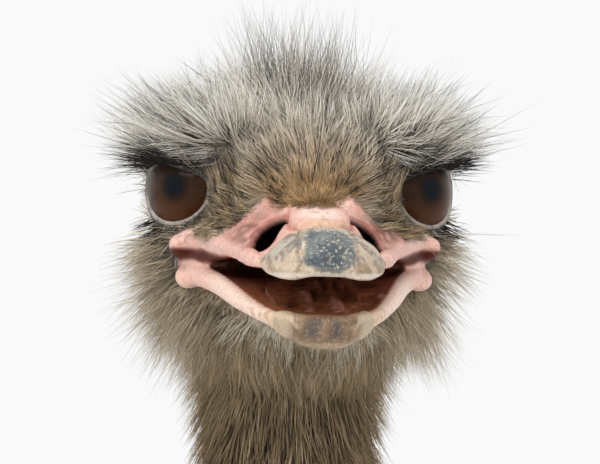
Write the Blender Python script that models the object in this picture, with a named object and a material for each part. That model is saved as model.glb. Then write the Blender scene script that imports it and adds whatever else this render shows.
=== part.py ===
"""A life-size hen ostrich, standing still with her bill a little open.

Metres, +Z up. The bird faces -Y, her left side is at +X, and she stands on z = 0.
The solids reach out to the tips of the plumage. Each is one named object, and where two
meet, one is cut by a slightly grown copy of the other, which leaves a gap of GAP.
"""

import math

import bmesh
import bpy
from mathutils import Matrix, Vector

# Driving sizes of the bird
EYE_HEIGHT = 1.80
EYE_Y = -0.5933
EYE_RADIUS = 0.019
EYE_SIDE = 0.0335
EYE_BACK = 0.003
TRUNK_HEIGHT = 1.03
TRUNK_Y = 0.0012
ANKLE_HEIGHT = 0.50
LEG_SPREAD = 0.125
STRIDE = 0.028
FOOT_Y = 0.0557
GAP = 0.0004

MM = 0.001

COLOURS = {
    "plumage": ((0.20, 0.17, 0.13), 0.90),
    "pale_plumage": ((0.55, 0.50, 0.42), 0.90),
    "down": ((0.33, 0.28, 0.21), 0.90),
    "skin": ((0.72, 0.40, 0.34), 0.50),
    "leg_skin": ((0.42, 0.33, 0.29), 0.60),
    "horn": ((0.55, 0.50, 0.42), 0.40),
    "mouth": ((0.28, 0.10, 0.06), 0.35),
    "eye": ((0.09, 0.04, 0.02), 0.08),
    "claw": ((0.16, 0.13, 0.11), 0.40),
}


def clear_scene():
    for obj in list(bpy.data.objects):
        bpy.data.objects.remove(obj)


def material(name):
    found = bpy.data.materials.get(name)
    if found:
        return found
    made = bpy.data.materials.new(name)
    made.use_nodes = True
    shader = made.node_tree.nodes["Principled BSDF"]
    colour, roughness = COLOURS[name]
    shader.inputs["Base Color"].default_value = (*colour, 1)
    shader.inputs["Roughness"].default_value = roughness
    shader.inputs["Metallic"].default_value = 0.0
    made.diffuse_color = (*colour, 1)
    return made


def solid(name, rings, surface):
    """Bridges rings of points, each with as many points, and caps both ends.

    The sides are triangles, so that a grown copy is split the same way and clears it all round.
    """
    mesh = bpy.data.meshes.new(name)
    bm = bmesh.new()
    rows = [[bm.verts.new(p) for p in ring] for ring in rings]
    count = len(rows[0])
    for low, high in zip(rows, rows[1:]):
        for i in range(count):
            j = (i + 1) % count
            bm.faces.new((low[i], low[j], high[j]))
            bm.faces.new((low[i], high[j], high[i]))
    bm.faces.new(list(reversed(rows[0])))
    bm.faces.new(rows[-1])
    bmesh.ops.recalc_face_normals(bm, faces=bm.faces)
    bm.to_mesh(mesh)
    bm.free()
    mesh.shade_smooth()
    obj = bpy.data.objects.new(name, mesh)
    bpy.context.scene.collection.objects.link(obj)
    mesh.materials.append(material(surface))
    return obj


def between(rows, steps):
    """Rows of numbers, smoothly filled in so that there are steps rows for each span."""
    made = []
    last = len(rows) - 1
    for k in range(last):
        before, start = rows[max(k - 1, 0)], rows[k]
        end, after = rows[k + 1], rows[min(k + 2, last)]
        for n in range(steps):
            t = n / steps
            made.append([
                0.5 * (2 * b + (c - a) * t + (2 * a - 5 * b + 4 * c - d) * t * t
                       + (3 * b - a - 3 * c + d) * t ** 3)
                for a, b, c, d in zip(before, start, end, after)
            ])
    return made + [list(rows[-1])]


def loft(name, stations, surface, sides=16, steps=3):
    """A body part along a path. A station is x, y, z, half width, half height above and below.

    On an upright path, above is behind and below is in front.
    """
    rows = between(stations, steps)
    centres = [Vector(row[:3]) for row in rows]
    rings = []
    last_up = None
    for k, row in enumerate(rows):
        ahead = centres[min(k + 1, len(rows) - 1)] - centres[max(k - 1, 0)]
        ahead.normalize()
        side = Vector((1, 0, 0))
        side = (side - side.dot(ahead) * ahead).normalized()
        up = side.cross(ahead)
        upright = Vector((0, 1, 0)) if abs(ahead.z) > 0.7 else Vector((0, 0, 1))
        if up.dot(last_up or upright) < 0:
            up = -up
        last_up = up
        centre = centres[k]
        wide, above, below = (max(size, 0.0004) for size in row[3:6])
        ring = []
        for n in range(sides):
            turn = 2 * math.pi * n / sides
            across, rise = math.cos(turn), math.sin(turn)
            ring.append(centre + side * wide * across + up * rise * (above if rise > 0 else below))
        rings.append(ring)
    return solid(name, rings, surface)


def ball(name, centre, sizes, surface, segments=20, rings=12, turn=None):
    mesh = bpy.data.meshes.new(name)
    bm = bmesh.new()
    bmesh.ops.create_uvsphere(bm, u_segments=segments, v_segments=rings, radius=1)
    bmesh.ops.scale(bm, vec=sizes, verts=bm.verts)
    if turn:
        bmesh.ops.rotate(bm, matrix=turn, verts=bm.verts)
    bmesh.ops.translate(bm, vec=centre, verts=bm.verts)
    bm.to_mesh(mesh)
    bm.free()
    mesh.shade_smooth()
    obj = bpy.data.objects.new(name, mesh)
    bpy.context.scene.collection.objects.link(obj)
    mesh.materials.append(material(surface))
    return obj


def helper(obj):
    """A cutter or a guide, which isn't part of the bird."""
    obj.hide_render = True
    obj.display_type = "WIRE"
    return obj


def boolean(obj, other, operation="DIFFERENCE"):
    made = obj.modifiers.new(operation.title(), "BOOLEAN")
    made.object = other
    made.operation = operation
    made.solver = "EXACT"


def room_for(obj, gap=GAP):
    """A cutter: the object as it is now, with every point moved outwards by the gap."""
    room = obj.copy()
    room.data = obj.data.copy()
    room.name = f"{obj.name}_room"
    bpy.context.scene.collection.objects.link(room)
    for vertex, normal in zip(room.data.vertices, [v.normal.copy() for v in obj.data.vertices]):
        vertex.co += normal * gap
    return helper(room)


def apply_modifiers(obj):
    """Gives the object the mesh that its modifiers make, so that a later cut works on it."""
    graph = bpy.context.evaluated_depsgraph_get()
    made = bpy.data.meshes.new_from_object(obj.evaluated_get(graph))
    obj.modifiers.clear()
    obj.data = made
    made.shade_smooth()


def blended(obj, shapes, voxel, rounds, triangles):
    """Melts overlapping shapes into one soft form, then thins it to about so many triangles."""
    bm = bmesh.new()
    for shape in (obj, *shapes):
        bm.from_mesh(shape.data)
    bm.to_mesh(obj.data)
    bm.free()
    remesh = obj.modifiers.new("Melt", "REMESH")
    remesh.mode = "VOXEL"
    remesh.voxel_size = voxel
    soften = obj.modifiers.new("Soften", "SMOOTH")
    soften.factor = 0.5
    soften.iterations = rounds
    apply_modifiers(obj)
    faces = sum(len(p.vertices) - 2 for p in obj.data.polygons)
    thin = obj.modifiers.new("Thin", "DECIMATE")
    thin.ratio = min(1.0, triangles / faces)
    apply_modifiers(obj)


def in_head(x, y, z):
    """A place given in millimetres from the middle between the eyes."""
    return Vector((x * MM, EYE_Y + y * MM, EYE_HEIGHT + z * MM))


def head_loft(name, rows, surface, sides=20, steps=2):
    """A loft along the head, its rows in millimetres: y, z, half width, above, below."""
    stations = [
        (*in_head(0, y, z), wide * MM, above * MM, below * MM)
        for y, z, wide, above, below in rows
    ]
    return loft(name, stations, surface, sides, steps)


# --- Head: the skull with its mop of bristles, cheek ruffs and throat ---

SKULL = [
    # y, z, half width, above, below
    (-63, -9, 15, 6, 5),
    (-56, -6, 26, 12, 15),
    (-38, -3, 36, 25, 28),
    (-15, 0, 43, 40, 40),
    (12, 2, 50, 48, 52),
    (40, 0, 53, 48, 62),
    (62, -6, 48, 42, 66),
    (80, -16, 34, 30, 60),
    (90, -26, 12, 14, 34),
]


def make_head():
    head = head_loft("head", SKULL, "down")
    mop = helper(ball("mop", in_head(0, 20, 25), (0.066, 0.060, 0.032), "down"))
    crest = helper(ball("crest", in_head(0, 26, 40), (0.042, 0.046, 0.020), "down"))
    throat = helper(ball("throat", in_head(0, 18, -52), (0.036, 0.056, 0.028), "down"))
    shapes = [mop, crest, throat]
    for side in (-1, 1):
        ruff = ball(f"ruff_{side}", in_head(side * 36, 42, -38), (0.032, 0.036, 0.044), "down")
        shapes.append(helper(ruff))
    blended(head, shapes, 0.003, 14, 560)
    return head


def eye_centre(side, back=0.0):
    return in_head(side * EYE_SIDE / MM, EYE_BACK / MM + back, 1)


EYE_AXIS_TURN = math.radians(52)


def eye_axis(side):
    """The way an eye looks: forwards and well out to its side."""
    return Vector((side * math.sin(EYE_AXIS_TURN), -math.cos(EYE_AXIS_TURN), 0))


def make_eyes(head):
    """Both eyes, with the plumage cleared in front of each, and its socket cut to fit it."""
    for side, word in ((-1, "right"), (1, "left")):
        axis = eye_axis(side)
        turn = Matrix((Vector((0, 0, 1)), axis.cross(Vector((0, 0, 1))), axis)).transposed()
        eye = ball(f"eye_{word}", eye_centre(side), (EYE_RADIUS,) * 3, "eye", 16, 10, turn)
        reach = 0.075
        bm = bmesh.new()
        bmesh.ops.create_cone(
            bm, cap_ends=True, segments=14, radius1=0.006, radius2=reach * 0.98, depth=reach)
        bmesh.ops.translate(bm, vec=(0, 0, reach / 2 + 0.004), verts=bm.verts)
        # Lower than it is long, as the lids are
        bmesh.ops.scale(bm, vec=(0.66, 1.0, 1.0), verts=bm.verts)
        bmesh.ops.rotate(bm, matrix=turn, verts=bm.verts)
        bmesh.ops.translate(bm, vec=eye_centre(side), verts=bm.verts)
        bmesh.ops.recalc_face_normals(bm, faces=bm.faces)
        mesh = bpy.data.meshes.new(f"eye_window_{word}")
        bm.to_mesh(mesh)
        bm.free()
        window = bpy.data.objects.new(mesh.name, mesh)
        bpy.context.scene.collection.objects.link(window)
        boolean(head, helper(window))
        boolean(head, room_for(eye))


# --- Bill ---

UPPER_BILL = [
    # y, half width, edge z, ridge z, ridge share of the width, palate arch
    (-6, 33.0, -19.8, 2, 0.50, 4),
    (-11, 40.5, -19.8, 4, 0.50, 4),
    (-18, 43.5, -19.2, 4, 0.50, 5),
    (-30, 40.0, -17.0, 2, 0.44, 6),
    (-50, 33.5, -18.5, -1, 0.34, 7),
    (-70, 29.0, -21.5, -5.5, 0.32, 7),
    (-88, 24.8, -24.0, -9.0, 0.34, 6),
    (-101, 21.6, -25.5, -12.0, 0.42, 4),
    (-111, 18.0, -26.0, -14.2, 0.55, 2),
    (-119, 12.5, -25.6, -16.5, 0.75, 1),
    (-123, 6.5, -24.6, -19.5, 0.90, 0.3),
    (-124, 2.0, -23.2, -21.6, 1.00, 0.1),
]

LOWER_BILL = [
    # y, half width, rim z, keel depth, lip width, floor depth
    (-6, 31.0, -23.0, 12, 5.5, 1.0),
    (-11, 38.5, -22.9, 13.5, 5.5, 2.0),
    (-18, 41.0, -23.2, 14, 5.5, 4.0),
    (-30, 38.0, -23.8, 13, 4.6, 5.0),
    (-50, 32.6, -26.2, 12.5, 4.2, 5.5),
    (-72, 27.6, -30.6, 11, 3.8, 5.5),
    (-92, 22.6, -34.6, 9.5, 3.4, 5.0),
    (-104, 18.6, -37.4, 8.8, 3.4, 3.4),
    (-112, 14.0, -39.2, 8.2, 4.0, 1.2),
    (-117, 9.0, -40.6, 6.6, 6.0, 0.4),
    (-119, 4.0, -42.4, 3.2, 3.0, 0.1),
]

LIP_THICK = 4.0


def upper_section(row, sides):
    """A section of the upper bill: over the ridge from edge to edge, and back along the palate."""
    y, wide, edge, ridge, share, arch = row
    half = sides // 2
    points = []
    for n in range(half + 1):
        u = -1 + 2 * n / half
        away = max(0.0, (abs(u) - share) / (1 - share + 1e-6))
        # The flanks fall away hollow beside the ridge and end in a rounded edge
        fall = 1 - 0.72 * away ** 0.75 - 0.28 * away ** 6
        crown = 1 - 0.06 * min(1.0, abs(u) / max(share, 0.05)) ** 2
        z = edge + (ridge - edge) * (fall * crown)
        points.append((u * wide, z))
    for n in range(1, half):
        u = 1 - 2 * n / half
        lip = min(LIP_THICK, (ridge - edge) * 0.6)
        inner = 1 - abs(u) ** 6
        points.append((u * wide * 0.985, edge - 0.25 * lip * (1 - inner) - 0.2 + arch * (1 - u * u) * inner))
    return [in_head(x, y, z) for x, z in points]


def lower_section(row, sides):
    """A section of the lower bill: under the keel from rim to rim, and back over its floor."""
    y, wide, rim, keel, lip, deep = row
    half = sides // 2
    points = []
    for n in range(half + 1):
        turn = math.pi * n / half
        across = -math.copysign(abs(math.cos(turn)) ** 0.75, math.cos(turn))
        points.append((across * wide, rim - keel * math.sin(turn) ** 0.9))
    inside = max(wide - lip, 0.3 * wide)
    for n in range(1, half):
        turn = math.pi * n / half
        across = math.cos(turn)
        points.append((across * inside * 1.02, rim + 0.8 - deep * math.sin(turn) ** 0.7 - 0.8 * math.sin(turn)))
    return [in_head(x, y, z) for x, z in points]


def bill(name, rows, section, surface, sides=18, steps=2):
    return solid(name, [section(row, sides) for row in between(rows, steps)], surface)


def cut_nostrils(upper):
    for side in (-1, 1):
        turn = Matrix.Rotation(side * math.radians(24), 3, "Z") @ Matrix.Rotation(side * math.radians(38), 3, "Y")
        hole = ball(f"nostril_{side}", in_head(side * 15.5, -82, -13.5), (0.0032, 0.0085, 0.0062),
                    "mouth", 12, 8, turn)
        boolean(upper, helper(hole))


def nail_cutter(name, y, height, deep, grow):
    """A rounded block that stands in front of y, with a bowed back: what it holds is the nail."""
    return helper(ball(name, in_head(0, y - deep, height), (0.034 + grow, deep * MM + grow, 0.020 + grow),
                       "horn", 14, 8))


def make_bill():
    upper = bill("upper_bill", UPPER_BILL, upper_section, "skin")
    rooms = [room_for(upper)]
    upper_nail = bill("upper_nail", UPPER_BILL, upper_section, "horn")
    boolean(upper, nail_cutter("upper_nail_room", -97, -20, 32, GAP))
    boolean(upper_nail, nail_cutter("upper_nail_reach", -97, -20, 32, 0), "INTERSECT")
    cut_nostrils(upper)
    for side in (-1, 1):
        orbit = ball(f"orbit_{side}", eye_centre(side), (EYE_RADIUS + 0.0025,) * 3, "down", 16, 10)
        boolean(upper, helper(orbit))
    lower = bill("lower_bill", LOWER_BILL, lower_section, "skin")
    rooms.append(room_for(lower))
    lower_nail = bill("lower_nail", LOWER_BILL, lower_section, "horn")
    boolean(lower, nail_cutter("lower_nail_room", -103, -42, 30, GAP))
    boolean(lower_nail, nail_cutter("lower_nail_reach", -103, -42, 30, 0), "INTERSECT")
    for obj in (upper, upper_nail, lower, lower_nail):
        apply_modifiers(obj)
    return lower, rooms


TONGUE = [
    # y, z, half width, above, below
    (-84, -35.2, 2, 0.5, 0.5),
    (-81, -34.7, 9, 1.4, 0.8),
    (-72, -33.4, 13, 2.6, 1.0),
    (-60, -31.2, 15, 3.0, 1.0),
    (-50, -29.2, 14, 2.6, 1.0),
    (-45, -28.2, 9, 1.6, 0.8),
]


def make_tongue(lower):
    tongue = head_loft("tongue", TONGUE, "mouth", sides=12, steps=1)
    boolean(lower, room_for(tongue))
    apply_modifiers(lower)
    return tongue


# --- Neck ---

def neck_stations():
    """The neck, from inside the head down to inside the breast."""
    head_y, head_z = EYE_Y, EYE_HEIGHT
    return [
        # x, y, z, half width, half depth behind, half depth in front
        (0, head_y + 0.046, head_z - 0.030, 0.034, 0.036, 0.036),
        (0, head_y + 0.048, head_z - 0.075, 0.037, 0.040, 0.038),
        (0, head_y + 0.054, head_z - 0.130, 0.036, 0.038, 0.037),
        (0, head_y + 0.060, head_z - 0.230, 0.037, 0.039, 0.038),
        (0, head_y + 0.054, head_z - 0.340, 0.039, 0.041, 0.041),
        (0, head_y + 0.046, head_z - 0.450, 0.044, 0.048, 0.047),
        (0, head_y + 0.062, head_z - 0.560, 0.055, 0.062, 0.058),
        (0, head_y + 0.118, head_z - 0.660, 0.078, 0.090, 0.080),
        (0, head_y + 0.200, head_z - 0.740, 0.112, 0.120, 0.110),
    ]


def make_neck():
    """Three lengths of neck, and a cutter for what they run into."""
    whole = loft("neck", neck_stations(), "down", sides=16, steps=2)
    room = room_for(whole)
    cuts = (EYE_HEIGHT - 0.215, EYE_HEIGHT - 0.430)
    spans = (("neck_upper", EYE_HEIGHT + 0.1, cuts[0]), ("neck_middle", cuts[0], cuts[1]),
             ("neck_lower", cuts[1], TRUNK_HEIGHT - 0.2))
    lengths = []
    for name, top, bottom in spans:
        obj = bpy.data.objects.new(name, whole.data.copy())
        bpy.context.scene.collection.objects.link(obj)
        for height, outward in ((top - GAP / 2, 1), (bottom + GAP / 2, -1)):
            bm = bmesh.new()
            bm.from_mesh(obj.data)
            cut = bmesh.ops.bisect_plane(
                bm, geom=[*bm.verts, *bm.edges, *bm.faces], plane_co=(0, 0, height),
                plane_no=(0, 0, outward), clear_outer=True)
            edges = [e for e in cut["geom_cut"] if isinstance(e, bmesh.types.BMEdge)]
            if edges:
                bmesh.ops.holes_fill(bm, edges=edges)
            bm.to_mesh(obj.data)
            bm.free()
        lengths.append(obj)
    bpy.data.objects.remove(whole)
    return lengths, room


# --- Trunk, wings and tail ---

TRUNK = [
    # y, z, then half width, above and below to the tips of the plumage
    (0.500, 0.045, 0.030, 0.030, 0.030),
    (0.470, 0.040, 0.110, 0.095, 0.120),
    (0.360, 0.030, 0.190, 0.170, 0.225),
    (0.200, 0.015, 0.238, 0.212, 0.285),
    (0.010, 0.000, 0.256, 0.226, 0.305),
    (-0.170, 0.000, 0.244, 0.212, 0.275),
    (-0.320, 0.012, 0.200, 0.172, 0.215),
    (-0.420, 0.028, 0.138, 0.120, 0.145),
    (-0.462, 0.038, 0.050, 0.045, 0.060),
]


def make_trunk():
    stations = [
        (0, TRUNK_Y + y, TRUNK_HEIGHT + z, wide, above, below) for y, z, wide, above, below in TRUNK
    ]
    return loft("trunk", stations, "plumage", sides=18, steps=2)


TAIL = [
    # y, z, half width, above, below
    (0.400, 0.070, 0.070, 0.060, 0.060),
    (0.470, 0.060, 0.130, 0.085, 0.100),
    (0.550, 0.005, 0.165, 0.095, 0.120),
    (0.620, -0.080, 0.160, 0.085, 0.105),
    (0.660, -0.170, 0.115, 0.060, 0.070),
    (0.668, -0.230, 0.040, 0.020, 0.025),
]


def make_tail():
    stations = [
        (0, TRUNK_Y + y, TRUNK_HEIGHT + z, wide, above, below) for y, z, wide, above, below in TAIL
    ]
    return loft("tail", stations, "pale_plumage", sides=14, steps=2)


WING = [
    # y, z, out from the middle, half thickness, half height above and below
    (-0.285, 0.050, 0.182, 0.016, 0.040, 0.045),
    (-0.250, 0.045, 0.207, 0.040, 0.090, 0.105),
    (-0.130, 0.025, 0.244, 0.046, 0.130, 0.165),
    (0.040, -0.005, 0.258, 0.048, 0.145, 0.215),
    (0.210, -0.035, 0.244, 0.048, 0.145, 0.230),
    (0.350, -0.070, 0.204, 0.044, 0.125, 0.200),
    (0.450, -0.110, 0.158, 0.030, 0.080, 0.125),
    (0.492, -0.135, 0.130, 0.010, 0.030, 0.040),
]


def make_wing(side, word):
    stations = [
        (side * out, TRUNK_Y + y, TRUNK_HEIGHT + z, thick, above, below)
        for y, z, out, thick, above, below in WING
    ]
    return loft(f"wing_{word}", stations, "pale_plumage", sides=12, steps=2)


# --- Legs ---

def leg_points(side):
    """Knee, ankle, toe joint and the y of the stance, for one leg."""
    ahead = side * STRIDE
    knee = Vector((side * 0.165, TRUNK_Y - 0.060 + ahead * 0.3, 0.875))
    ankle = Vector((side * (LEG_SPREAD + 0.012), FOOT_Y + 0.105 + ahead * 0.7, ANKLE_HEIGHT))
    toe = Vector((side * LEG_SPREAD, FOOT_Y + 0.030 + ahead, 0.060))
    return knee, ankle, toe


def along(start, end, rows):
    """Stations on the line from start to end: share of the way, y offset, half sizes."""
    return [
        (*(start.lerp(end, share) + Vector((0, shift, 0))), wide, back, front)
        for share, shift, wide, front, back in rows
    ]


def drumstick_loft(name, side):
    knee, ankle, _ = leg_points(side)
    rows = [
        (-0.16, 0.020, 0.030, 0.040, 0.040),
        (-0.10, 0.020, 0.066, 0.090, 0.095),
        (0.15, 0.014, 0.082, 0.105, 0.112),
        (0.42, 0.004, 0.062, 0.075, 0.085),
        (0.66, 0.000, 0.038, 0.044, 0.052),
        (0.86, 0.000, 0.027, 0.031, 0.036),
        (0.965, 0.000, 0.028, 0.033, 0.036),
    ]
    return loft(name, along(knee, ankle, rows), "leg_skin", sides=12, steps=2)


def tarsus_loft(name, side):
    _, ankle, toe = leg_points(side)
    rows = [
        (-0.080, 0.004, 0.012, 0.014, 0.016),
        (-0.060, 0.004, 0.027, 0.029, 0.036),
        (0.000, 0.002, 0.0330, 0.034, 0.040),
        (0.080, 0.000, 0.0270, 0.028, 0.032),
        (0.250, 0.000, 0.0195, 0.023, 0.025),
        (0.600, 0.000, 0.0180, 0.021, 0.023),
        (0.850, 0.000, 0.0215, 0.023, 0.025),
        (0.960, 0.000, 0.0275, 0.027, 0.028),
        (1.020, 0.000, 0.0260, 0.024, 0.026),
        (1.045, 0.000, 0.0140, 0.012, 0.014),
    ]
    return loft(name, along(ankle, toe, rows), "leg_skin", sides=10, steps=1)


def toe_loft(name, start, heading, length, rows):
    """A toe that lies flat on the floor. A row is share of the length, half width, top height."""
    ahead = Vector((math.sin(heading), -math.cos(heading), 0))
    side = Vector((math.cos(heading), math.sin(heading), 0))
    rings = []
    for share, wide, top in between(rows, 1):
        centre = start + ahead * (length * share)
        ring = []
        for n in range(10):
            turn = 2 * math.pi * n / 10
            across, rise = math.cos(turn), math.sin(turn)
            width = wide * math.copysign(abs(across) ** 0.8, across)
            # The underside is flat where it meets the floor
            point = centre + side * width * (1.0 if rise > -0.1 else 0.86)
            middle = 0.3 * top
            height = 0.0 if rise < -0.1 else middle + (top - middle) * max(0.0, rise) ** 0.8
            ring.append(Vector((point.x, point.y, height)))
        rings.append(ring)
    return solid(name, rings, "leg_skin")


INNER_TOE = [
    (-0.22, 0.010, 0.022),
    (-0.16, 0.024, 0.040),
    (0.00, 0.031, 0.062),
    (0.20, 0.031, 0.054),
    (0.45, 0.028, 0.042),
    (0.70, 0.026, 0.038),
    (0.90, 0.022, 0.032),
    (0.99, 0.012, 0.020),
]
OUTER_TOE = [
    (-0.10, 0.008, 0.018),
    (0.00, 0.016, 0.034),
    (0.30, 0.0165, 0.036),
    (0.60, 0.0150, 0.028),
    (0.88, 0.0130, 0.023),
    (1.00, 0.0070, 0.013),
]
INNER_TOE_LENGTH = 0.150
OUTER_TOE_LENGTH = 0.105


def make_claw(name, start, heading, length, wide, tall):
    """A blunt claw, flat below, that tapers from its toe to the floor."""
    ahead = Vector((math.sin(heading), -math.cos(heading), 0))
    side = Vector((math.cos(heading), math.sin(heading), 0))
    rows = [(0.0, 0.90, 1.00), (0.25, 1.0, 0.94), (0.55, 0.80, 0.72), (0.82, 0.50, 0.42), (1.0, 0.16, 0.14)]
    rings = []
    for share, broad, high in between(rows, 2):
        centre = start + ahead * (length * share)
        ring = []
        for n in range(8):
            turn = 2 * math.pi * n / 8
            across, rise = math.cos(turn), math.sin(turn)
            point = centre + side * (wide * broad * across)
            ring.append(Vector((point.x, point.y, 0.0015 + tall * high * (0.5 + 0.5 * rise))))
        rings.append(ring)
    return solid(name, rings, "claw")


def make_leg(side, word, trunk, wing_room):
    toe = leg_points(side)[2]
    drumstick = drumstick_loft(f"drumstick_{word}", side)
    boolean(trunk, room_for(drumstick))
    apply_modifiers(trunk)
    boolean(drumstick, wing_room)
    tarsus = tarsus_loft(f"tarsus_{word}", side)
    tarsus_room = room_for(tarsus)
    boolean(drumstick, tarsus_room)
    apply_modifiers(drumstick)
    floor = Vector((toe.x, toe.y, 0))
    inward = -side * math.radians(3)
    outward = side * math.radians(26)
    inner_start = floor + Vector((-side * 0.008, 0, 0))
    inner = toe_loft(f"inner_toe_{word}", inner_start, inward, INNER_TOE_LENGTH, INNER_TOE)
    outer_start = floor + Vector((side * 0.024, 0.002, 0))
    outer = toe_loft(f"outer_toe_{word}", outer_start, outward, OUTER_TOE_LENGTH, OUTER_TOE)
    boolean(outer, room_for(inner))
    for toe in (inner, outer):
        boolean(toe, tarsus_room)
        apply_modifiers(toe)
    tip = inner_start + Vector((math.sin(inward), -math.cos(inward), 0)) * (INNER_TOE_LENGTH * 0.99 + GAP)
    make_claw(f"claw_{word}", tip, inward, 0.036, 0.0125, 0.020)


def make_bird():
    clear_scene()
    head = make_head()
    make_eyes(head)
    lower, rooms = make_bill()
    for room in rooms:
        boolean(head, room)
    make_tongue(lower)
    lengths, neck_room = make_neck()
    boolean(head, neck_room)
    apply_modifiers(head)
    trunk = make_trunk()
    trunk_room = room_for(trunk)
    boolean(lengths[2], trunk_room)
    apply_modifiers(lengths[2])
    tail = make_tail()
    for side, word in ((-1, "right"), (1, "left")):
        room = room_for(make_wing(side, word))
        boolean(trunk, room)
        apply_modifiers(trunk)
        boolean(tail, room)
        make_leg(side, word, trunk, room)
    boolean(tail, trunk_room)
    apply_modifiers(tail)


make_bird()
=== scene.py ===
"""A still, life-size hen ostrich as a museum would show her: skin, coat, eyes, horn and studio."""

import math

import bmesh
import bpy
import numpy as np
from mathutils import Matrix, Vector
from mathutils.kdtree import KDTree


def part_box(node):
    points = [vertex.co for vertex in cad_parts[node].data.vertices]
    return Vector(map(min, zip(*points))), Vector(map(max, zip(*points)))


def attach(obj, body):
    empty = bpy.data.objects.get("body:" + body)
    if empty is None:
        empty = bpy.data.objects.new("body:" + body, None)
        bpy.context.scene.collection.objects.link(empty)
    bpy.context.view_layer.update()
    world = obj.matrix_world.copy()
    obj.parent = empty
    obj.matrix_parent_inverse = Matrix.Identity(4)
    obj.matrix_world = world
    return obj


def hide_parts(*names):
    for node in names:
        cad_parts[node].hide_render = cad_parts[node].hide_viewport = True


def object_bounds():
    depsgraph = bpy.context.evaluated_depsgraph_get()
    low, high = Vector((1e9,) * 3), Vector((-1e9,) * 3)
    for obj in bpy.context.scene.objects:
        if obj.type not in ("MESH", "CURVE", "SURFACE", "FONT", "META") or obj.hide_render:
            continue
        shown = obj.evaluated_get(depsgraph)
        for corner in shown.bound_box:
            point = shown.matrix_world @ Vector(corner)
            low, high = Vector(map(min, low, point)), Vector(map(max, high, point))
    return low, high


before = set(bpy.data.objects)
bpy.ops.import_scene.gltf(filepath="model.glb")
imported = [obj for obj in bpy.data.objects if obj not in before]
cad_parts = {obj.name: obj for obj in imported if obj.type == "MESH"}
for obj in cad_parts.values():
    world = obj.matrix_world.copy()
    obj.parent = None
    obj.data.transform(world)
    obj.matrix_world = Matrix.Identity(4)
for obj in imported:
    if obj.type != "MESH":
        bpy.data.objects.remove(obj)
cad_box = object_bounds()
bpy.ops.object.select_all(action="DESELECT")

# ---------------------------------------------------------------------------
# Camera and studio: a long lens level with the bill and a little to the bird's
# right, a matt off-white floor that runs out of sight, an even pale surround and
# one large soft lamp high in front.
# ---------------------------------------------------------------------------

MM = 0.001
eye_low, eye_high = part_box("eye_left")
eye_middle = (eye_low + eye_high) / 2
EYE_SIZE = (eye_high.z - eye_low.z) / 2 / MM               # radius of the eyeball in mm
EYE_AT = np.array([eye_middle.x / MM, 3.0, 1.0])           # its middle, in mm of the face
FACE = np.array([0.0, eye_middle.y - EYE_AT[1] * MM, eye_middle.z - EYE_AT[2] * MM])


def place(points):
    """Millimetres of the face (x to the bird's left, y backwards, z up) to metres of the bird."""
    return np.asarray(points, float) * MM + FACE


CAMERA_AWAY, CAMERA_HEIGHT = 1000, -13.0                   # mm in front of the face, and above its middle
CAMERA_ROUND, CAMERA_ROLL = math.radians(-4.2), math.radians(0.8)
camera_data = bpy.data.cameras.new("camera")
camera_data.lens = 174
camera_data.clip_start, camera_data.clip_end = 0.05, 60
camera = bpy.data.objects.new("camera", camera_data)
bpy.context.scene.collection.objects.link(camera)
bpy.context.scene.camera = camera
stand = np.array([math.sin(CAMERA_ROUND) * CAMERA_AWAY, -math.cos(CAMERA_ROUND) * CAMERA_AWAY, CAMERA_HEIGHT])
aim = np.array([0.0, 0.0, CAMERA_HEIGHT])
camera.matrix_world = (
    Matrix.Translation(place(stand))
    @ Vector(stand - aim).normalized().to_track_quat("Z", "Y").to_matrix().to_4x4()
    @ Matrix.Rotation(CAMERA_ROLL, 4, "Z"))

world = bpy.data.worlds.new("studio")
bpy.context.scene.world = world
world.use_nodes = True
world.node_tree.nodes["Background"].inputs["Color"].default_value = (1, 1, 1, 1)
world.node_tree.nodes["Background"].inputs["Strength"].default_value = 0.95


def linear(code):
    """An sRGB hex colour as linear red, green and blue."""
    parts = np.array([int(code[i:i + 2], 16) for i in (1, 3, 5)]) / 255
    return np.where(parts <= 0.04045, parts / 12.92, ((parts + 0.055) / 1.055) ** 2.4)


def feed(node, inputs):
    """Sets inputs of a node, each to a value or to the socket that feeds it."""
    for key, value in inputs.items():
        if isinstance(value, bpy.types.NodeSocket):
            node.id_data.links.new(value, node.inputs[key])
        else:
            node.inputs[key].default_value = value


def add(tree, kind, inputs=(), **settings):
    """A new node with its settings, and its inputs fed."""
    node = tree.nodes.new(kind)
    for key, value in settings.items():
        setattr(node, key, value)
    feed(node, dict(inputs))
    return node


def new_material(name):
    """A material with its tree and its shader."""
    material = bpy.data.materials.new(name)
    material.use_nodes = True
    return material, material.node_tree, material.node_tree.nodes["Principled BSDF"]


# Matt floor paint, rolled on in thin coats: no shine, and a faint cloudiness a third of a metre across
bpy.ops.mesh.primitive_plane_add(size=40, location=(0, 0, 0))
floor = bpy.context.object
floor.name = "floor"
material, tree, shader = new_material("matt floor paint")
where = add(tree, "ShaderNodeTexCoord").outputs["Object"]
cloud = add(tree, "ShaderNodeTexNoise", {"Vector": where, "Scale": 3, "Detail": 6})
paint = add(tree, "ShaderNodeMix", {"Factor": cloud.outputs["Fac"], "A": (*linear("#f4f3f1"), 1),
                                    "B": (*linear("#fbfaf9"), 1)}, data_type="RGBA")
feed(shader, {"Base Color": paint.outputs["Result"], "Roughness": 0.8})
floor.data.materials.append(material)
floor.select_set(False)

LAMP_AT = Vector((-1.2, -2.2, 4.0))
lamp_data = bpy.data.lights.new("key", "AREA")
lamp_data.size = 2.0
lamp_data.energy = 40
lamp = bpy.data.objects.new("key", lamp_data)
bpy.context.scene.collection.objects.link(lamp)
lamp.location = LAMP_AT
lamp.rotation_euler = (LAMP_AT - Vector(FACE)).to_track_quat("Z", "Y").to_euler()
bpy.context.scene.view_settings.view_transform = "Standard"

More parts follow.
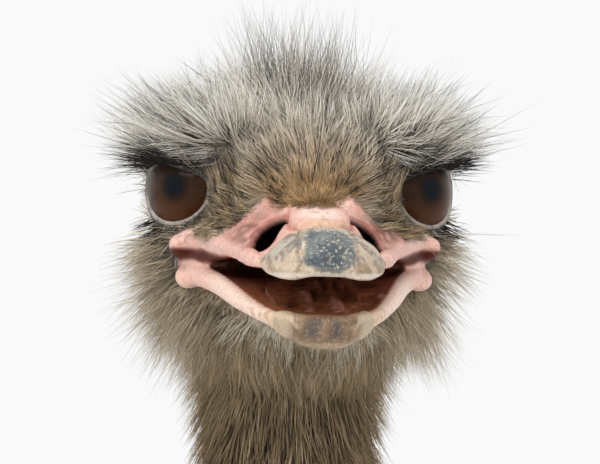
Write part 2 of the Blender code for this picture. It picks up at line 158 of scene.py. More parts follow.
# ---------------------------------------------------------------------------
# Flesh of the head: lumps of clay over the skull, melted into one skin and then
# worked. The bill is a bony wedge under soft skin, with a thick rolled
# lip along each edge and loose cushions where the lips meet.
# ---------------------------------------------------------------------------


def new_mesh(name, points, faces):
    """An object from points in metres and a list of faces."""
    mesh = bpy.data.meshes.new(name)
    mesh.from_pydata([tuple(p) for p in points], [], [tuple(int(i) for i in f) for f in faces])
    mesh.update()
    obj = bpy.data.objects.new(name, mesh)
    bpy.context.scene.collection.objects.link(obj)
    return obj


def smooth(value, low, high):
    """0 below low, 1 above high, and an even rise between them."""
    t = np.clip((value - low) / (high - low), 0, 1)
    return t * t * (3 - 2 * t)


def fade(value, low, high):
    """1 below low, 0 above high, and an even fall between them."""
    return 1 - smooth(value, low, high)


def between(rows, steps):
    """Rows of numbers filled in smoothly, with so many rows for each span."""
    rows = np.asarray(rows, float)
    padded = np.vstack([rows[0], rows, rows[-1]])
    made = []
    for k in range(1, len(rows)):
        a, b, c, d = padded[k - 1:k + 3]
        for t in np.arange(steps) / steps:
            made.append(0.5 * (2 * b + (c - a) * t + (2 * a - 5 * b + 4 * c - d) * t * t
                               + (3 * b - a - 3 * c + d) * t ** 3))
    return np.array(made + [rows[-1]])


def tube_faces(rings, sides):
    """Faces of a closed tube of rings, capped at both ends."""
    faces = []
    for k in range(rings - 1):
        for i in range(sides):
            j = (i + 1) % sides
            faces.append((k * sides + i, k * sides + j, (k + 1) * sides + j, (k + 1) * sides + i))
    faces.append(tuple(range(sides - 1, -1, -1)))
    faces.append(tuple(range((rings - 1) * sides, rings * sides)))
    return faces


def clay(name, rings):
    """A closed lump from rings of points, each an array with as many points."""
    rings = np.asarray(rings)
    obj = new_mesh(name, rings.reshape(-1, 3), tube_faces(len(rings), rings.shape[1]))
    bm = bmesh.new()
    bm.from_mesh(obj.data)
    bmesh.ops.recalc_face_normals(bm, faces=bm.faces)
    bm.to_mesh(obj.data)
    bm.free()
    return obj


def ovals(rows, steps=4, sides=40):
    """Rings for a lump along y: rows of y, z, half width, height above and below, in mm."""
    turn = np.linspace(0, 2 * math.pi, sides, endpoint=False)
    rings = []
    for y, z, wide, above, below in between(rows, steps):
        rise = np.sin(turn)
        tall = np.where(rise > 0, above, below)
        rings.append(place(np.stack([wide * np.cos(turn), np.full(sides, y), z + tall * rise], 1)))
    return rings


def pebble(name, centre, sizes, pitch=0.0, yaw=0.0):
    """An egg of clay, in mm, pitched nose down and yawed outwards in degrees."""
    bpy.ops.mesh.primitive_uv_sphere_add(segments=40, ring_count=24, radius=1)
    obj = bpy.context.object
    obj.name = name
    turn = Matrix.Rotation(math.radians(yaw), 4, "Z") @ Matrix.Rotation(math.radians(pitch), 4, "X")
    scale = Matrix.Diagonal((*(np.array(sizes) * MM), 1.0))
    obj.data.transform(Matrix.Translation(place(centre)) @ turn @ scale)
    obj.select_set(False)
    return obj


def rope(name, path, radii, sides=16):
    """A round strip of clay along points in mm, with a radius at each."""
    path = np.asarray(path, float)
    ahead = np.gradient(path, axis=0)
    ahead /= np.linalg.norm(ahead, axis=1, keepdims=True)
    up = np.array([0, 0, 1.0])
    rings = []
    for point, way, radius in zip(path, ahead, radii):
        side = np.cross(way, up)
        side /= np.linalg.norm(side)
        over = np.cross(side, way)
        turn = np.linspace(0, 2 * math.pi, sides, endpoint=False)[:, None]
        rings.append(place(point + radius * (np.cos(turn) * side + np.sin(turn) * over)))
    return clay(name, rings)


# Upper bill: y, half width, edge z, ridge z, share of the width that the ridge takes
UPPER = between([
    (-6, 33.0, -20.8, 2, 0.50),
    (-11, 40.0, -20.8, 3, 0.50),
    (-18, 42.0, -19.6, 3, 0.48),
    (-30, 39.0, -17.6, 1, 0.40),
    (-50, 32.5, -18.8, -2.0, 0.30),
    (-70, 27.0, -21.6, -5.5, 0.29),
    (-88, 22.4, -24.2, -9.2, 0.34),
    (-101, 18.8, -25.2, -12.2, 0.42),
    (-111, 16.2, -25.6, -14.4, 0.50),
    (-118, 11.8, -25.6, -16.8, 0.62),
    (-121, 6.5, -24.8, -19.6, 0.80),
    (-122, 2.0, -23.4, -22.0, 1.00),
], 6)

# Lower bill: y, half width, rim z, depth of the keel, lip width, depth of the floor
LOWER = between([
    (-6, 31.0, -24.4, 11, 5.5, 1.0),
    (-11, 38.0, -24.4, 12.5, 5.5, 2.0),
    (-18, 40.0, -24.6, 13, 5.5, 3.0),
    (-30, 37.2, -25.4, 12.5, 5.0, 3.2),
    (-50, 31.6, -28.0, 11.5, 4.6, 2.8),
    (-72, 26.2, -32.2, 10.5, 4.2, 2.8),
    (-92, 20.8, -36.0, 9.2, 3.8, 2.4),
    (-103, 16.4, -38.0, 9.2, 3.4, 1.4),
    (-109.5, 12.6, -38.8, 9.2, 3.2, 0.6),
    (-112.6, 10.6, -39.2, 8.8, 3.0, 0.2),
    (-113.8, 9.0, -40.0, 7.8, 3.0, 0.1),
    (-114.6, 5.0, -42.2, 4.0, 3.0, 0.1),
], 6)


def upper_ring(row, sides=72):
    """One ring of the upper bill: over the top from edge to edge, and back along the roof of the mouth."""
    y, wide, edge, ridge, share = row
    half = sides // 2
    u = np.linspace(-1, 1, half + 1)
    away = np.clip((np.abs(u) - share) / (1 - share + 1e-6), 0, 1)
    steep = math.exp(-(((y + 87) / 13) ** 2))               # steep flanks, where the nostrils are
    full = smooth(-y, 88, 100)                              # a full, square tip with a curled edge
    slope, corner = 0.74 - 0.16 * full, 0.26 + 0.16 * full
    plain = 1 - slope * away ** (0.8 + 0.5 * full) - corner * away ** (8 + 4 * full)
    fall = (1 - steep) * plain + steep * fade(away, 0, 0.94)
    fall *= 1 - 0.05 * np.minimum(1, np.abs(u) / share) ** 2
    across = np.abs(u) * wide
    curl = 0.075 * full * np.maximum(0, across - 12.5) ** 2 - 0.9 * full * smooth(across, 4, 11)
    top = np.stack([u * wide, np.full(half + 1, y), edge + (ridge - edge) * fall + curl * (1 - fall)], 1)
    v = np.linspace(1, -1, half + 1)[1:-1]
    vault = np.clip((y + 122) / 60, 0, 1) * 2.5
    roof = np.stack([v * wide * 0.98, np.full(half - 1, y),
                     edge - 0.3 + vault * (1 - np.abs(v) ** 2.5) + np.interp(v, u, curl)], 1)
    return place(np.vstack([top, roof]))


def lower_ring(row, sides=64):
    """One ring of the lower bill: round the keel from rim to rim, and back along the floor of the mouth."""
    y, wide, rim, keel, lip, floor = row
    half = sides // 2
    turn = np.linspace(0, math.pi, half + 1)
    across = -np.sign(np.cos(turn)) * np.abs(np.cos(turn)) ** 0.85
    hull = np.stack([across * wide, np.full(half + 1, y), rim - keel * np.sin(turn) ** 0.9], 1)
    turn = turn[1:-1]
    dip = rim + 0.6 - (floor + 0.6) * np.sin(turn) ** 0.7
    bed = np.stack([np.cos(turn) * max(wide - lip, 0.3 * wide), np.full(half - 1, y), dip], 1)
    return place(np.vstack([hull, bed]))


def lip_strip(name, side, table, inset, rise, sizes_at, sizes):
    """A rope along one edge of the bill, set in from it and thinner towards the tip."""
    back = table[:, 0] < -12
    path = np.stack([side * (table[back, 1] - inset), table[back, 0], table[back, 2] + rise], 1)
    return rope(name, path, np.interp(path[:, 1], sizes_at, sizes))


lumps = [
    clay("cranium", ovals([
        # y, z, half width, above, below
        (-64, -11, 12, 5, 6),
        (-57, -8, 20, 7.5, 10),
        (-44, -5, 27, 14, 16),
        (-25, -2, 31, 21, 22),
        (0, 0, 37, 27, 32),
        (28, 0, 42, 29, 44),
        (52, -5, 41, 27, 50),
        (68, -14, 33, 20, 50),
        (76, -26, 16, 12, 32),
    ])),
    clay("upper", [upper_ring(row) for row in UPPER]),
    clay("lower", [lower_ring(row) for row in LOWER]),
    pebble("gullet", (0, 6, -46), (25, 50, 12), -14),
]
for side in (-1, 1):
    lumps.append(lip_strip("upper_lip", side, UPPER, 2.2, 2.0, (-121, -100, -70, -40, -20),
                           (0.8, 1.6, 2.6, 3.4, 4.2)))
    lumps.append(lip_strip("lower_lip", side, LOWER, 2.0, -2.6, (-116, -106, -96, -70, -40, -20),
                           (0.4, 0.6, 2.2, 3.3, 3.6, 3.8)))
    # The web of skin that closes the corner of the mouth between the lips
    web_y = np.linspace(-12, -66, 14)
    rise = np.linspace(0, 1, 14) ** 1.5
    web_x = np.interp(-web_y, -UPPER[:, 0], UPPER[:, 1]) - 5 + 2 * rise
    web_z = np.interp(-web_y, -UPPER[:, 0], UPPER[:, 2]) + 2.4 * rise
    web_z += (1 - rise) * (np.interp(-web_y, -LOWER[:, 0], LOWER[:, 2]) - web_z) / 2
    lumps.append(rope("web", np.stack([side * web_x, web_y, web_z], 1), np.linspace(4.6, 2.4, 14)))
    lumps += [
        pebble("upper_cushion", (side * 40.4, -19, -18.6), (4.8, 12, 4.4), -8, side * 14),
        pebble("lower_cushion", (side * 38.2, -18, -28.0), (4.9, 10, 4.3), 10, side * 14),
        pebble("gape", (side * 33.5, -10, -23.4), (5.0, 12, 6.0), 0, side * 14),
        pebble("cheek", (side * 33, 2, -20), (12, 22, 14)),
        pebble("lids", (side * EYE_AT[0], EYE_AT[1], EYE_AT[2]), (EYE_SIZE + 1.2,) * 3),
        pebble("brow", (side * 30, 2, 17), (20, 27, 7.5), 0, side * -12),
        pebble("jowl", (side * 25, 22, -28), (17, 33, 19)),
    ]


def melt(name, pieces, voxel, rounds):
    """Joins lumps of clay and melts them into one skin, in cells of this many metres, then softens it."""
    bpy.ops.object.select_all(action="DESELECT")
    for obj in pieces:
        obj.select_set(True)
    bpy.context.view_layer.objects.active = pieces[0]
    bpy.ops.object.join()
    obj = bpy.context.object
    obj.name = name
    remesh = obj.modifiers.new("melt", "REMESH")
    remesh.voxel_size = voxel
    bpy.ops.object.modifier_apply(modifier=remesh.name)
    soften = obj.modifiers.new("soften", "SMOOTH")
    soften.factor = 0.5
    soften.iterations = rounds
    bpy.ops.object.modifier_apply(modifier=soften.name)
    obj.select_set(False)
    return obj


skin = melt("skin", lumps, 0.0009, 7)


def points_of(obj):
    """The object's points as an array, in metres."""
    co = np.empty(len(obj.data.vertices) * 3, np.float32)
    obj.data.vertices.foreach_get("co", co)
    return co.reshape(-1, 3).astype(float)


def normals_of(obj):
    """The object's vertex normals as an array."""
    n = np.empty(len(obj.data.vertices) * 3, np.float32)
    obj.data.vertex_normals.foreach_get("vector", n)
    return n.reshape(-1, 3).astype(float)


def face_mm(points):
    """Metres of the bird to millimetres of the face."""
    return (np.asarray(points) - FACE) / MM


def sides_of(p):
    """Points as three rows: distance from the middle plane, y and z. The face is alike on both sides."""
    return np.abs(p[:, 0]), p[:, 1], p[:, 2]


def put_points(obj, points):
    """Moves the object's points to these places, in metres."""
    obj.data.vertices.foreach_set("co", np.asarray(points, np.float32).ravel())
    obj.data.update()


def swell(obj, push):
    """Moves the surface out along its normals, by so many mm at each point."""
    put_points(obj, place(face_mm(points_of(obj)) + normals_of(obj) * push[:, None]))


# The gap between the lids, in degrees over the eyeball: half its length, how far it opens up and down,
# and the powers that make its upper curve squarer than its lower one
LOOK_OUT = math.radians(44)
GAP_HALF, GAP_UP, GAP_DOWN = 45, 22.0, 34.0
CURVE_UP, CURVE_DOWN = 3.4, 2.0


def eye_angles(p):
    """For points in mm: how far round and how far up from each eye's axis, and how far out."""
    side = np.where(p[:, 0] < 0, -1, 1)
    away = p - np.stack([side * EYE_AT[0], np.full(len(p), EYE_AT[1]), np.full(len(p), EYE_AT[2])], 1)
    out = np.linalg.norm(away, axis=1)
    round_ = np.degrees(np.arctan2(side * away[:, 0], -away[:, 1])) - math.degrees(LOOK_OUT)
    up = np.degrees(np.arcsin(np.clip(away[:, 2] / np.maximum(out, 1e-6), -1, 1)))
    return round_, up, out, away


def lid_gap(p):
    """Under 1 in the gap between the lids, 1 at their edge and more outside it."""
    round_, up, _, _ = eye_angles(p)
    tall = np.where(up > 0, GAP_UP + 0.22 * np.clip(round_, -GAP_HALF, 10), GAP_DOWN)
    power = np.where(up > 0, CURVE_UP, CURVE_DOWN)
    return (np.abs(round_ / GAP_HALF) ** power + np.abs(up / tall) ** power) ** (1 / power)


def ease(obj, weight, rounds):
    """Evens out the surface where weight is above 0, which takes out the steps of the voxels."""
    edges = np.empty(len(obj.data.edges) * 2, np.int64)
    obj.data.edges.foreach_get("vertices", edges)
    a, b = edges.reshape(-1, 2).T
    p = points_of(obj)
    count = np.bincount(a, minlength=len(p)) + np.bincount(b, minlength=len(p))
    for _ in range(rounds):
        total = [np.bincount(a, p[b, k], len(p)) + np.bincount(b, p[a, k], len(p)) for k in range(3)]
        p += weight[:, None] * (np.stack(total, 1) / np.maximum(count, 1)[:, None] - p)
    put_points(obj, p)


def dome(p, centre, sizes):
    """1 at the centre of an egg-shaped region on both sides of the face, and 0 from its edge outwards."""
    q = (np.stack(sides_of(p), 1) - centre) / sizes
    return fade((q ** 2).sum(1) ** 0.5, 0, 1)


# Nostrils: slanting slots, where the mesh is made finer first
NOSTRIL = np.array([15.4, -77.5, -13.6])
SLOT = np.array([-6.6, 14.0, 8.9]) / np.linalg.norm([-6.6, 14.0, 8.9])
SLOT_HALF, SLOT_WIDE = 8.2, 6.8                             # half its length and half its width
INTO = np.array([-0.50, 0.70, -0.50])
inward = INTO - SLOT * (INTO @ SLOT)
inward /= np.linalg.norm(inward)


def slot_of(p):
    """How far across the nostril's slot each point is, 1 at its edge, and the signs that mirror it."""
    mirror = np.where(p[:, :1] < 0, -1, 1) * np.array([[1, 0, 0]]) + np.array([[0, 1, 1]])
    q = p * mirror - NOSTRIL
    slot = np.hypot(q @ SLOT / SLOT_HALF, q @ np.cross(SLOT, inward) / SLOT_WIDE)
    return np.where((q @ inward > -7) & (q @ inward < 4.5), slot, 9.0), mirror


slot, _ = slot_of(face_mm(points_of(skin)))
bm = bmesh.new()
bm.from_mesh(skin.data)
bm.verts.ensure_lookup_table()
fine_edges = [edge for edge in bm.edges if max(slot[edge.verts[0].index], slot[edge.verts[1].index]) < 1.3]
bmesh.ops.subdivide_edges(bm, edges=fine_edges, cuts=2, use_grid_fill=True)
bm.to_mesh(skin.data)
bm.free()

# Soft swellings, hollows and creases: middle and size of each in mm, and how far it is pushed out
p = face_mm(points_of(skin))
x, y, z = sides_of(p)
push = np.zeros(len(p))
for centre, sizes, amount in (
        ((12, -60, -4), (9, 22, 14), 2.6),      # cere either side of the boss
        ((27, -44, -12), (13, 30, 9), 2.6),     # flank above the lip
        ((22, -84, -20), (6, 16, 6), 1.0),      # skin outside the nostril
        ((20, -66, -11), (10, 11, 10), 2.4),    # fold behind the nostril
        ((15, -91, -17), (6, 9, 6), -1.2),      # dip in front of it
        ((0, -48, 0), (22, 12, 14), 1.5)):      # forehead feathers start here
    push += amount * dome(p, centre, sizes)
# The boss on the ridge: a flat-topped shield with a crease round it and another across behind
shield = (np.abs(p[:, 0] / 9.6) ** 2.6 + np.abs((y + 83) / 18) ** 2.6) ** (1 / 2.6)
on_top = (z > -19) & (y > -112)
push += on_top * (2.0 * fade(shield, 0.84, 1.02) - 0.9 * fade(np.abs(shield - 1.06), 0, 0.09))
arc = np.abs(np.hypot(p[:, 0] / 8.8, (y + 79) / 9.5) - 1)
push -= on_top * (y > -74) * 0.8 * fade(arc, 0, 0.12) * fade(x, 4, 8)
swell(skin, push)

# The nostrils sink straight into the flanks of the bill, each with a soft raised edge
SLOT_DEPTH, SLOT_EDGE = 4.4, 0.5
p = face_mm(points_of(skin))
slot, mirror = slot_of(p)
raised = SLOT_EDGE * fade(np.abs(slot - 1.15), 0, 0.25)
sunk = SLOT_DEPTH * fade(slot, 0.70, 1.04) - raised
put_points(skin, place(p + mirror * inward * sunk[:, None]))
ease(skin, 0.5 * fade(np.abs(slot - 1.0), 0.1, 0.35), 9)

# The lids: skin stands clear of the eyeball round it and dips under it in the gap
LID_THICK, LID_RIM, LID_TUCK = 0.8, 0.6, 3.5
p = face_mm(points_of(skin))
round_, up, out, away = eye_angles(p)
gap = lid_gap(p)
near_eye = (out < EYE_SIZE + 9) & (np.abs(round_) < 85)
lid = EYE_SIZE + LID_THICK + LID_RIM * fade(np.abs(gap - 1.08), 0, 0.08)
tucked = EYE_SIZE - LID_TUCK
target = tucked + (np.maximum(out, lid) - tucked) * smooth(gap, 0.92, 1.06)
shift = np.where(near_eye, target / np.maximum(out, 1e-6), 1.0)[:, None]
put_points(skin, place(p - away + away * shift))
ease(skin, near_eye * fade(np.abs(gap - 1.0), 0.1, 0.3) * 0.5, 5)
skin.data.shade_smooth()

# ---------------------------------------------------------------------------
# Skin of the head: bare, pink and scaly over the bill, dusky in front of the
# eyes, with dark-edged lids, and under the coat painted darker than the coat as
# the shade there. Every mark is painted on as a colour for each point, and painted
# shade darkens the nostrils, the parting of the lips, the back of the mouth, the
# creases of the boss and the skin under the lids. The lining of the mouth is the
# same skin, wet.
# ---------------------------------------------------------------------------


def noise(points, size, seed=0):
    """Smooth noise from -1 to 1 at points, with lumps of the given size."""
    q = np.asarray(points, float) / size + 31.7 * (seed + 1)
    cell = np.floor(q).astype(np.int64)
    f = q - cell
    f = f * f * (3 - 2 * f)
    total = np.zeros(len(q))
    for corner in range(8):
        step = np.array([corner & 1, corner >> 1 & 1, corner >> 2 & 1])
        at = cell + step
        mixed = (at[:, 0] * 73856093) ^ (at[:, 1] * 19349663) ^ (at[:, 2] * 83492791) ^ (seed * 9176 + 77)
        mixed = (mixed ^ (mixed >> 13)) * 1274126177 & 0x7FFFFFFF
        weight = np.prod(np.where(step == 1, f, 1 - f), axis=1)
        total += weight * (mixed / 0x3FFFFFFF - 1)
    return total


def painted(points, base, *layers):
    """Colours for points: a base, then layers, each a hex colour and how much of the rest it covers."""
    colour = np.tile(linear(base), (len(points), 1)) if isinstance(base, str) else base
    for code, share in layers:
        share = np.clip(share, 0, 1)[:, None]
        colour = colour * (1 - share) + linear(code) * share
    return colour


def set_tint(obj, colour, flecks=None):
    """Stores a colour per point, and how flecked it is, as the attribute that the materials read."""
    layer = obj.data.color_attributes.new("tint", "FLOAT_COLOR", "POINT")
    flecks = np.zeros(len(colour)) if flecks is None else flecks
    layer.data.foreach_set("color", np.c_[colour, flecks].astype(np.float32).ravel())


def tinted_material(name):
    """A material with its tree, its shader and the socket of the painted colours."""
    material, tree, shader = new_material(name)
    return material, tree, shader, add(tree, "ShaderNodeAttribute", attribute_name="tint").outputs["Color"]


def top_of_bare(q):
    """Height in mm at which the bare pink skin of the bill gives way to feathers."""
    across = np.abs(q[:, 0] + 2.0 * fade(np.abs(q[:, 0]), 24, 34))
    return np.interp(across, (0, 4.5, 9.2, 12, 14.8, 18.9, 23.2, 26.7, 28.6, 35.4, 40.3, 44.5, 47),
                     (-2.6, -2.6, -1.8, 1.4, -3.4, -7.0, -11.0, -9.8, -13.6, -12.6, -12.8, -13.6, -20))


def foot_of_bare(q):
    """Height in mm at which the feathers of the chin and cheek start under the lower lip."""
    return np.interp(-q[:, 1], (0, 18, 30, 50, 72, 92, 102), (-30, -32.6, -34.2, -37.0, -41.0, -45.0, -60))


# Where each marking lies: shares from 0 to 1 for every point of the skin
p = face_mm(points_of(skin))
n = normals_of(skin)
x, y, z = sides_of(p)
tone = noise(p, 9, 3)
fine = noise(p, 2.2, 4)
rough_edge = 0.7 * noise(p, 4, 1) + 0.5 * noise(p, 2, 2)
bare = smooth(top_of_bare(p) - z + rough_edge, -1.0, 1.0)
bare *= smooth(z - foot_of_bare(p) + rough_edge, -1.0, 1.2)
bare *= smooth(-y, 8, 13)
bare *= smooth(-(y + 0.6 * z), -6, 0)
lores = smooth(-y, 2, 16) * smooth(x, 16, 26) * fade(z, 12, 20)
forehead = fade(np.hypot(p[:, 0] / 24, (z - 2) / 18), 0.7, 1.2) * smooth(-y, 20, 40)

# The lips and the mouth between them
wide_up, edge_up = (np.interp(-y, -UPPER[:, 0], UPPER[:, column]) for column in (1, 2))
wide_low, edge_low = (np.interp(-y, -LOWER[:, 0], LOWER[:, column]) for column in (1, 2))
in_mouth = ((z < edge_up + 4) & (z > edge_low - 8) & (x < np.minimum(wide_up, wide_low) - 2.6)
            & (y > -119) & (y < 30))
roof = in_mouth & (z > (edge_up + edge_low) / 2)
facing_in = np.where(roof, smooth(-n[:, 2], 0.0, 0.3), smooth(n[:, 2], 0.1, 0.4) * (z < edge_low + 1.5))
mouth = in_mouth * np.where(y > -14, 1.0, facing_in)
between_lips = (z < edge_up - 1.2) & (z > edge_low + 1.0) & (x < wide_low - 0.5) & (y > -75)
mouth = np.maximum(mouth, between_lips * smooth(30 - x, 0, 3))
in_corner = smooth(x, 20, 27) * smooth(y, -72, -60)
furrow = noise(np.stack([p[:, 0] * 0.8, y * 0.15, z * 0.1], 1), 2.0, 24)
upper_lip = smooth(4.5 - np.abs(z - edge_up - 1.0), 0, 2) * bare
lower_lip = smooth(z - edge_low + 9, 0, 3) * (z < edge_up - 2) * (y < -14) * (x > wide_low - 8) * bare
inner_edge = smooth(-y, 45, 70) * fade(np.abs(x - wide_low + 4.4), 0.8, 2.4) * (np.abs(z - edge_low) < 2.5)
parting = (edge_up + edge_low) / 2 + 0.6 + 0.5 * noise(p, 6, 23)
parting_wide = np.interp(-y, (14, 45, 66), (2.6, 3.6, 4.2))
parting_shadow = fade(np.abs(z - parting), 0.6, parting_wide) * (x > 22)
parting_shadow *= smooth(-y, 10, 20) * smooth(y, -80, -66)

# The nostrils, and the rims of the lids with the dark ring round them
nostril_shade = fade(slot, 0.90, 1.03)
round_, up, out, away = eye_angles(p)
gap = lid_gap(p)
near_eye = (out < EYE_SIZE + 6) & (np.abs(round_) < 110)
rim = near_eye * (gap > 0.7) * fade(np.abs(gap - 1.05) * (1 + 0.8 * smooth(-round_, 26, 44)), 0.05, 0.09)
rim *= fade(out, EYE_SIZE + 1.8, EYE_SIZE + 3.4)
rim *= ((1 - 0.85 * smooth(up + 0.4 * round_, 4, 18))
        * (1 - 0.8 * smooth(-round_, 26, 40) * smooth(up, -16, -6)))
liner = near_eye * (gap > 1) * fade(np.abs(gap - 1.34), 0.18, 0.34)
liner *= fade(out, EYE_SIZE + 3, EYE_SIZE + 6)
under_lid_shade = near_eye * fade(gap, 0.97, 1.04)

colour = painted(
    p, "#8d8172",                                                       # skin under the coat, painted darker than the coat as its shade
    ("#6b5a49", smooth(-z, 30, 60) * 0.7),
    ("#5e5146", lores * 0.9),
    ("#77603f", forehead * 0.8),
    ("#4d453e", lores * smooth(fine, 0, 0.7) * 0.5),
    ("#dfa899", bare),                                                  # pink, in patches
    ("#efcfc0", bare * smooth(tone + 0.4 * fine, -0.2, 0.8) * 0.75),
    ("#cf8478", bare * smooth(-tone, 0.0, 0.8) * 0.5),
    ("#74412f", bare * dome(p, (22, -71, -12), (17, 28, 14)) * smooth(fine + tone, -1.2, 0.3)),
    # painted shade: darker pink in the crease round the boss
    ("#c4756a", bare * on_top * fade(np.abs(shield - 1.06), 0.02, 0.12) * (y < -60) * 0.7),
    ("#e8bdb0", upper_lip * 0.6),                                       # lips
    ("#f6dacd", on_top * fade(shield, 0.35, 1.0) * 0.9),                # boss, then painted shade in the crease behind it
    ("#c96a5e", on_top * (y > -74) * fade(arc, 0.02, 0.12) * fade(x, 5.5, 8.5) * 0.9),
    ("#efd6c4", lower_lip * smooth(-y, 30, 60) * 0.8),
    ("#e9c0b0", lower_lip * fade(-y, 30, 60) * 0.8),
    ("#d9b98f", bare * smooth(-y, 88, 104) * 0.6),                      # turning to horn at the tip
    ("#8f5531", inner_edge * smooth(fine + tone, -0.9, 0.2) * 0.9),
    ("#9a6a45", bare * smooth(-y, 72, 92) * smooth(noise(p, 1.8, 27), 0.25, 0.6) * 0.5),
    ("#b0714e", mouth),                                                 # mouth, furrowed and wet
    ("#683722", mouth * smooth(tone + furrow, -0.1, 0.7) * 0.8),
    ("#d29a88", mouth * smooth(furrow, 0.4, 0.75) * smooth(-y, 30, 60) * 0.8),
    ("#b87240", mouth * smooth(-y, 90, 106) * 0.6),
    ("#4a2712", mouth * smooth(noise(p, 1.8, 26), 0.1, 0.6) * 0.6),
    ("#c0573a", mouth * roof),
    # painted shade: the middle of the roof near black, and the back of the mouth darker
    ("#2c0805", mouth * roof * fade(x, 8, 17)),
    ("#7a3420", mouth * fade(-y, 20, 40) * (1 - in_corner)),
    ("#a5604b", mouth * in_corner),
    ("#9a5240", smooth(parting_shadow, 0.0, 0.4) * 0.8),                        # painted shadow along the parting of the lips
    ("#4a1a0b", smooth(parting_shadow, 0.2, 0.8) * 0.95),
    ("#a3564a", fade(np.abs(slot - 1.05), 0, 0.22) * 0.6),              # edge of the nostril, then its hole painted black as shade
    ("#060202", nostril_shade),
    ("#211d1a", liner * smooth(rough_edge, -1.6, 0.4)),                 # round the eye, then the lids' rims
    ("#aaa297", rim),
    ("#4a443f", rim * smooth(fine, 0.1, 0.8) * 0.5),
    # painted shade: near black on the skin tucked under the eyeball
    ("#15100d", under_lid_shade),
)
set_tint(skin, colour, np.maximum(np.maximum(nostril_shade, under_lid_shade), 0.9 * parting_shadow))

# Bare skin: living, so a little light soaks in and comes out red. Fine scales 1.4 mm across and
# pores 1.1 mm apart roughen it, and its holes and creases, where the attribute is high, have no shine.
PORES_PER_MM, SCALES_PER_MM = 0.9, 0.7
material, tree, shader, tint = tinted_material("bare skin")
where = add(tree, "ShaderNodeTexCoord").outputs["Object"]
pores = add(tree, "ShaderNodeTexNoise", {"Vector": where, "Scale": PORES_PER_MM / MM, "Detail": 4,
                                         "Roughness": 0.6})
scales = add(tree, "ShaderNodeTexVoronoi", {"Vector": where, "Scale": SCALES_PER_MM / MM},
             feature="DISTANCE_TO_EDGE")
shade = add(tree, "ShaderNodeMapRange", {"Value": pores.outputs["Fac"], "From Min": 0.3, "From Max": 0.7,
                                         "To Min": 0.78, "To Max": 1.16})
mottled = add(tree, "ShaderNodeVectorMath", {0: tint, 1: shade.outputs["Result"]}, operation="MULTIPLY")
bump = add(tree, "ShaderNodeBump", {"Height": pores.outputs["Fac"], "Strength": 0.35, "Distance": 0.6 * MM})
bump = add(tree, "ShaderNodeBump", {"Height": scales.outputs["Distance"], "Strength": 0.12,
                                    "Distance": 0.4 * MM, "Normal": bump.outputs["Normal"]})
gloss = add(tree, "ShaderNodeMapRange", {"Value": tint.node.outputs["Alpha"], "To Min": 0.5, "To Max": 0.0})
feed(shader, {"Base Color": mottled.outputs["Vector"], "Normal": bump.outputs["Normal"],
              "Specular IOR Level": gloss.outputs["Result"], "Roughness": 0.46, "Subsurface Weight": 0.15,
              "Subsurface Radius": (0.0035, 0.0012, 0.0007), "Subsurface Scale": 1.0})
skin_material = material
skin.data.materials.append(skin_material)


def ground(obj):
    """The object's points and normals, and its triangles, for the coat to root on."""
    obj.data.calc_loop_triangles()
    corners = np.empty(len(obj.data.loop_triangles) * 3, np.int32)
    obj.data.loop_triangles.foreach_get("vertices", corners)
    return points_of(obj), normals_of(obj), corners.reshape(-1, 3)


def thin_out(obj, ratio, group=""):
    """Keeps this share of the faces, which is all that the form needs under a coat."""
    thin = obj.modifiers.new("thin", "DECIMATE")
    thin.ratio = ratio
    thin.vertex_group = group
    bpy.context.view_layer.objects.active = obj
    bpy.ops.object.modifier_apply(modifier=thin.name)


head_ground = ground(skin)
covered = (bare < 0.01) & (mouth < 0.01) & ~(near_eye & (gap < 1.9)) & ~((lores > 0.1) & (z < 2)) & (y > -84)
hidden = skin.vertex_groups.new(name="hidden")
hidden.add(np.nonzero(covered)[0].tolist(), 1.0, "REPLACE")
thin_out(skin, 0.31, hidden.name)
skin.vertex_groups.clear()
skin.data.shade_smooth()

# ---------------------------------------------------------------------------
# Skin of the neck, body and legs: the solids' own shape melted into one. Under
# the plumage it is drawn in by the depth of the coat, and the bare shanks and
# toes have a row of broad horny scutes down the front. Joined to the head's.
# ---------------------------------------------------------------------------


def flesh(name, nodes, voxel, rounds):
    """One skin over copies of these solids."""
    copies = []
    for node in nodes:
        copies.append(bpy.data.objects.new(name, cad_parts[node].data.copy()))
        copies[-1].data.materials.clear()
        bpy.context.scene.collection.objects.link(copies[-1])
    return melt(name, copies, voxel, rounds)


torso = flesh("torso", ["neck_upper", "neck_middle", "neck_lower", "trunk", "tail",
                        "wing_left", "wing_right"], 0.014, 4)
p = points_of(torso)
coat_depth = np.interp(p[:, 2], (1.0, 1.25, 1.35, 1.6, 1.8), (0.036, 0.034, 0.016, 0.008, 0.006))
coat_depth = np.minimum(coat_depth, np.interp(p[:, 1], (0.38, 0.48), (1, 0.022)))
put_points(torso, p - normals_of(torso) * coat_depth[:, None])
torso_ground = ground(torso)
# Painted shade: the skin under the plumage is dark brown, a little warmer up the neck, as the shade beneath
# the coat
set_tint(torso, painted(p, "#3c342c", ("#45372a", smooth(p[:, 2], 1.3, 1.4))))

